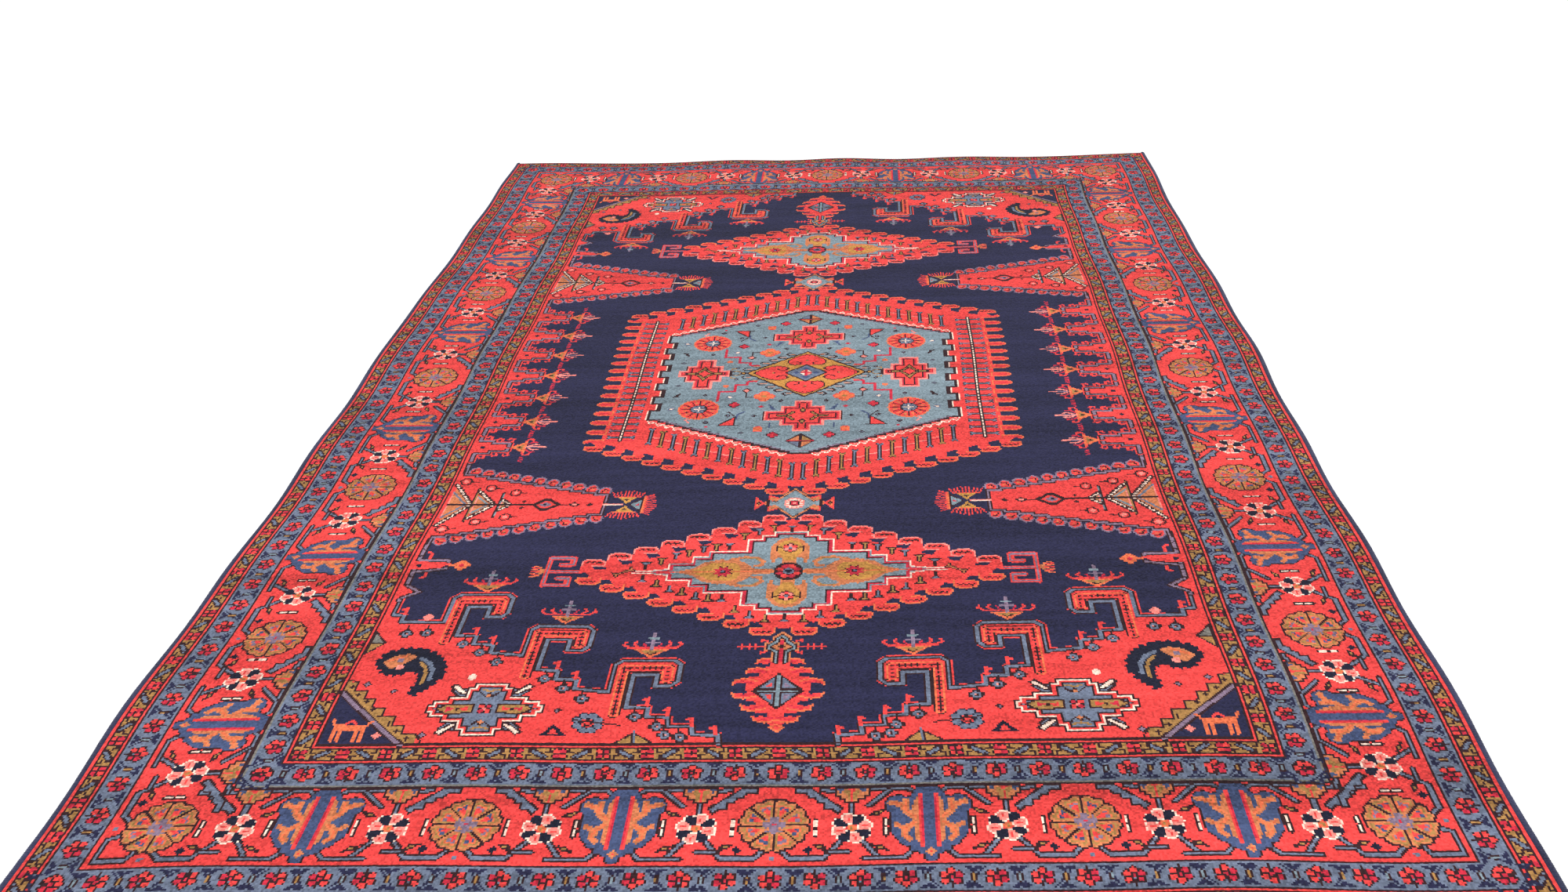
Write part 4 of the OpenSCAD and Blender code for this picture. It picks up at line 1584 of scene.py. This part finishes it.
def all_pile():
    """One piece of pile for each pile node, and two halves for the field's ground."""
    wool = wool_pile()
    nodes = sorted(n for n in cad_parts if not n.startswith(NOT_PILE))
    owner = np.full(chart.shape, -1)
    for i, node in enumerate(nodes):
        owner[knots_of(node) & (owner < 0)] = i
    while (owner < 0).any():
        for shift in ((0, 1), (0, -1), (1, 0), (-1, 0)):
            owner = np.where(owner < 0, np.roll(owner, shift, (0, 1)), owner)
    for i, node in enumerate(nodes):
        pieces = {f"knotted_{node}": owner == i}
        if node == "field_ground":
            pieces = {
                "navy_ground_left": (owner == i) & (knot_x < 0),
                "navy_ground_right": (owner == i) & (knot_x > 0),
            }
        for name, knots in pieces.items():
            stand_for(pile_piece(name, knots, wool), node)


# ---- Cotton ground ----------------------------------------------------------------------


SHEET_STEP = 13.2
CORD_HEIGHT = 0.25
CORD_BASE = 0.3


def closed_slab(top, bottom):
    """Points and quads of a closed slab, from the grids of its top and its bottom."""
    index = np.arange(top[..., 0].size).reshape(top.shape[:2])
    quad = [index[:-1, :-1], index[:-1, 1:], index[1:, 1:], index[1:, :-1]]
    up = np.stack(quad, -1).reshape(-1, 4)
    down = up[:, ::-1] + index.size
    rim = np.concatenate([index[0], index[1:, -1], index[-1, -2::-1], index[-2:0:-1, 0]])
    after = np.roll(rim, -1)
    wall = np.stack([rim + index.size, after + index.size, after, rim], 1)
    points = np.concatenate([top.reshape(-1, 3), bottom.reshape(-1, 3)])
    return points, np.concatenate([up, down, wall])


def closed_sheet(name, node, material, cords_along):
    """A thin closed sheet in a node's box, with fine cords on its underside."""
    low, high = box_in_mm(node)
    counts = ((high - low)[:2] / SHEET_STEP).round().astype(int) + 1
    x = np.linspace(low[0], high[0], counts[0])
    y = np.linspace(low[1], high[1], counts[1])
    top = np.stack([*np.meshgrid(x, y), np.full(counts[::-1], high[2])], -1)
    cord = np.arange(counts[0]) if cords_along else np.arange(counts[1])[:, None]
    bottom = top.copy()
    bottom[..., 2] = low[2] + CORD_BASE + CORD_HEIGHT * (-1.0) ** cord
    return mesh_piece(name, *closed_slab(top, bottom), material)


def cotton_ground():
    """The warps and the wefts, each as one sheet, the wefts on top."""
    warp_cotton = cotton("cotton_warp", (150, 132, 108), (226, 214, 190), (1, 0.02, 1))
    weft_cotton = cotton("cotton_weft", (140, 124, 104), (214, 202, 180), (0.02, 1, 1))
    warps = closed_sheet("warp_layer", "cotton_warps", warp_cotton, True)
    wefts = closed_sheet("weft_layer", "cotton_wefts", weft_cotton, False)
    layers = ((warps, "cotton_warps", "floor"), (wefts, "cotton_wefts", "warp_layer"))
    for piece, node, under in layers:
        stand_for(piece, node)


# ---- Sides and ends ----------------------------------------------------------------------


# Millimetres: the wound yarn's width, the relief of its turns and how loosely they lie.
YARN = 3.2
TURN_RELIEF = 0.32
LOOSENESS = 0.25
INSET = 0.4
OFF_FLOOR = 0.1


def side_wander(y, side):
    """How far a selvedge strays across the rug at each place along it, in millimetres."""
    return 0.8 * np.sin(y / 61 + side)


def wound_side(side, name, node, wool):
    """Selvedge wound with yarn: a ring of points every third of a turn of the yarn."""
    low, high = box_in_mm(node)
    middle = (low + high) / 2
    half_width, _, half_height = (high - low) / 2
    rings = int((high[1] - low[1]) / YARN * 3)
    y = np.linspace(low[1], high[1], rings + 1)
    radius = half_height - INSET
    outer = arc((half_width - half_height - INSET, 0), radius, -90, 90, 8)
    inner = INSET - half_width
    section = np.array(outer + [(inner, radius), (inner, -radius)])
    count = len(section)
    phase = np.arange(rings + 1)[:, None] / 3 * 2 * math.pi
    slant = np.arange(count)[None, :] / count * 2 * math.pi * 0.8
    thread = TURN_RELIEF * np.cos(phase + slant)
    loose = LOOSENESS * chance.uniform(-1, 1, (rings + 1, count))
    grow = 1 + (thread + loose) / half_height
    taper = np.minimum(1, np.minimum(y - low[1], high[1] - y) / 4 + 0.55)
    x = middle[0] + side * section[:, 0] * grow * taper[:, None] + side_wander(y, side)[:, None]
    z = np.maximum(middle[2] + section[:, 1] * grow, OFF_FLOOR)
    points = np.stack([x, y[:, None] + np.zeros_like(x), z], -1)
    index = np.arange(x.size).reshape(-1, count)
    turn = np.roll(index, -1, axis=1)
    quads = np.stack([index[:-1], turn[:-1], turn[1:], index[1:]], -1).reshape(-1, 4)
    if side < 0:
        quads = quads[:, ::-1]
    caps = []
    for end, row in enumerate((index[0], index[-1])):
        for i in range(1, count // 2):
            cap = [row[i - 1], row[i], row[count - 1 - i], row[(count - i) % count]]
            caps.append(cap[::-1] if (end == 0) == (side > 0) else cap)
    piece = mesh_piece(name, points.reshape(-1, 3), np.concatenate([quads, caps]), wool)
    stand_for(piece, node)


def woven_end(name, node, material, rib, relief):
    """Flat-woven or overcast strip across one end, ribbed every few millimetres."""
    low, high = box_in_mm(node)
    columns = int((high[0] - low[0]) / rib * 2)
    shares = np.linspace(0, 1, 9)
    outward = shares if low[1] > 0 else 1 - shares
    rounding = np.maximum(1 - np.maximum(outward - 0.45, 0) ** 2 * 2.2, 0.1)
    height = (high[2] - low[2]) * np.sqrt(rounding)
    ridge = relief * (-1.0) ** np.arange(columns + 1)
    z = low[2] + height[:, None] - relief + ridge
    z[1::2] += relief * 0.6
    x = np.linspace(low[0], high[0], columns + 1)
    y = low[1] + shares * (high[1] - low[1])
    top = np.stack([*np.meshgrid(x, y), z], -1)
    bottom = top.copy()
    bottom[..., 2] = low[2] + OFF_FLOOR
    stand_for(mesh_piece(name, *closed_slab(top, bottom), material), node)


def cables(side, name, node, material):
    """Two cotton cables inside a selvedge."""
    low, high = box_in_mm(node)
    thick = high[2] - low[2]
    y = np.linspace(low[1], high[1], 400)
    ring = np.radians(np.arange(8) * 45)
    radius = thick / 2 * (0.86 + 0.1 * np.cos(2 * (ring + y[:, None] / 3)))
    points = []
    quads = []
    for i, middle in enumerate((low[0] + thick / 2, high[0] - thick / 2)):
        x = middle + radius * np.cos(ring) + side_wander(y, side)[:, None]
        z = (low[2] + high[2]) / 2 + radius * np.sin(ring)
        index = (i * x.size + np.arange(x.size)).reshape(-1, 8)
        turn = np.roll(index, -1, axis=1)
        points.append(np.stack([x, y[:, None] + np.zeros_like(x), z], -1).reshape(-1, 3))
        quads.append(np.stack([index[:-1], index[1:], turn[1:], turn[:-1]], -1).reshape(-1, 4))
    piece = mesh_piece(name, np.concatenate(points), np.concatenate(quads), material)
    stand_for(piece, node)


def sides_and_ends():
    """The two selvedges with their cables, and the flat-woven band and hem at each end."""
    navy_wool = overcast_wool("navy_overcasting", (20, 22, 40), (74, 78, 112))
    cable_cotton = cotton("cable_cotton", (170, 152, 126), (232, 222, 200), (1, 0.3, 1))
    hem_wool = overcast_wool("hem_binding", (30, 24, 34), (96, 74, 78))
    kilim_wool = overcast_wool("flat_weave", (92, 44, 44), (196, 110, 90))
    for side, word in ((-1, "left"), (1, "right")):
        wound_side(side, f"wound_selvedge_{word}", f"selvedge_wrap_{word}", navy_wool)
        cables(side, f"twisted_cables_{word}", f"selvedge_cables_{word}", cable_cotton)
    for word in ("near", "far"):
        woven_end(f"flat_woven_end_{word}", f"kilim_end_{word}", kilim_wool, 3.3, 0.35)
        woven_end(f"stitched_hem_{word}", f"bound_hem_{word}", hem_wool, 4.0, 0.45)


# ---- Floor, light, camera --------------------------------------------------------------


FLOOR_REACH = 40.0
CAMERA_PLACE = (0.155, -2.889, 1.443)
CAMERA_TILT = 60.53
CAMERA_LEAN = 1.36


def turned(degrees, axis):
    """A turn about one of the three axes."""
    return Matrix.Rotation(math.radians(degrees), 4, axis)


def floor():
    """Plain pale floor, much larger than the rug, that glows a little to stay even."""
    mesh = bpy.data.meshes.new("floor")
    corners = [(-1, -1, 0), (1, -1, 0), (1, 1, 0), (-1, 1, 0)]
    mesh.from_pydata([(FLOOR_REACH * x, FLOOR_REACH * y, z) for x, y, z in corners], [], [(0, 1, 2, 3)])
    pale = Finish("pale_floor").set(
        Base_Color=(0.9, 0.9, 0.9, 1.0),
        Roughness=0.9,
        Specular_IOR_Level=0.0,
        Emission_Color=(1.0, 1.0, 1.0, 1.0),
        Emission_Strength=0.14,
    )
    mesh.materials.append(pale)
    plane = bpy.data.objects.new("floor", mesh)
    bpy.context.scene.collection.objects.link(plane)


def softbox(name, size, energy, place, tilt):
    """Square lamp that looks down at the rug."""
    lamp = bpy.data.lights.new(name, "AREA")
    lamp.shape = "RECTANGLE"
    lamp.size = size
    lamp.size_y = size
    lamp.energy = energy
    holder = bpy.data.objects.new(name, lamp)
    holder.matrix_world = Matrix.Translation(place) @ turned(tilt, "X")
    bpy.context.scene.collection.objects.link(holder)


def camera():
    """Camera that stands at the near end and looks along the rug."""
    view = bpy.data.cameras.new("camera")
    view.sensor_width = 36
    view.lens = 31.31
    view.shift_x = -0.0418
    holder = bpy.data.objects.new("camera", view)
    heading = turned(CAMERA_LEAN, "Z") @ turned(CAMERA_TILT, "X") @ turned(-CAMERA_LEAN, "Z")
    holder.matrix_world = Matrix.Translation(CAMERA_PLACE) @ heading
    bpy.context.scene.collection.objects.link(holder)
    bpy.context.scene.camera = holder


def studio():
    """Even white light from all round, one large soft lamp, and the camera."""
    floor()
    world = bpy.data.worlds.new("studio")
    world.use_nodes = True
    background = world.node_tree.nodes["Background"]
    background.inputs["Color"].default_value = (1, 1, 1, 1)
    background.inputs["Strength"].default_value = 1.0
    bpy.context.scene.world = world
    bpy.context.scene.view_settings.view_transform = "Standard"
    softbox("softbox_over_the_rug", 4, 56, (0.2, -0.9, 3.6), 9)
    camera()


studio()
all_pile()
cotton_ground()
sides_and_ends()
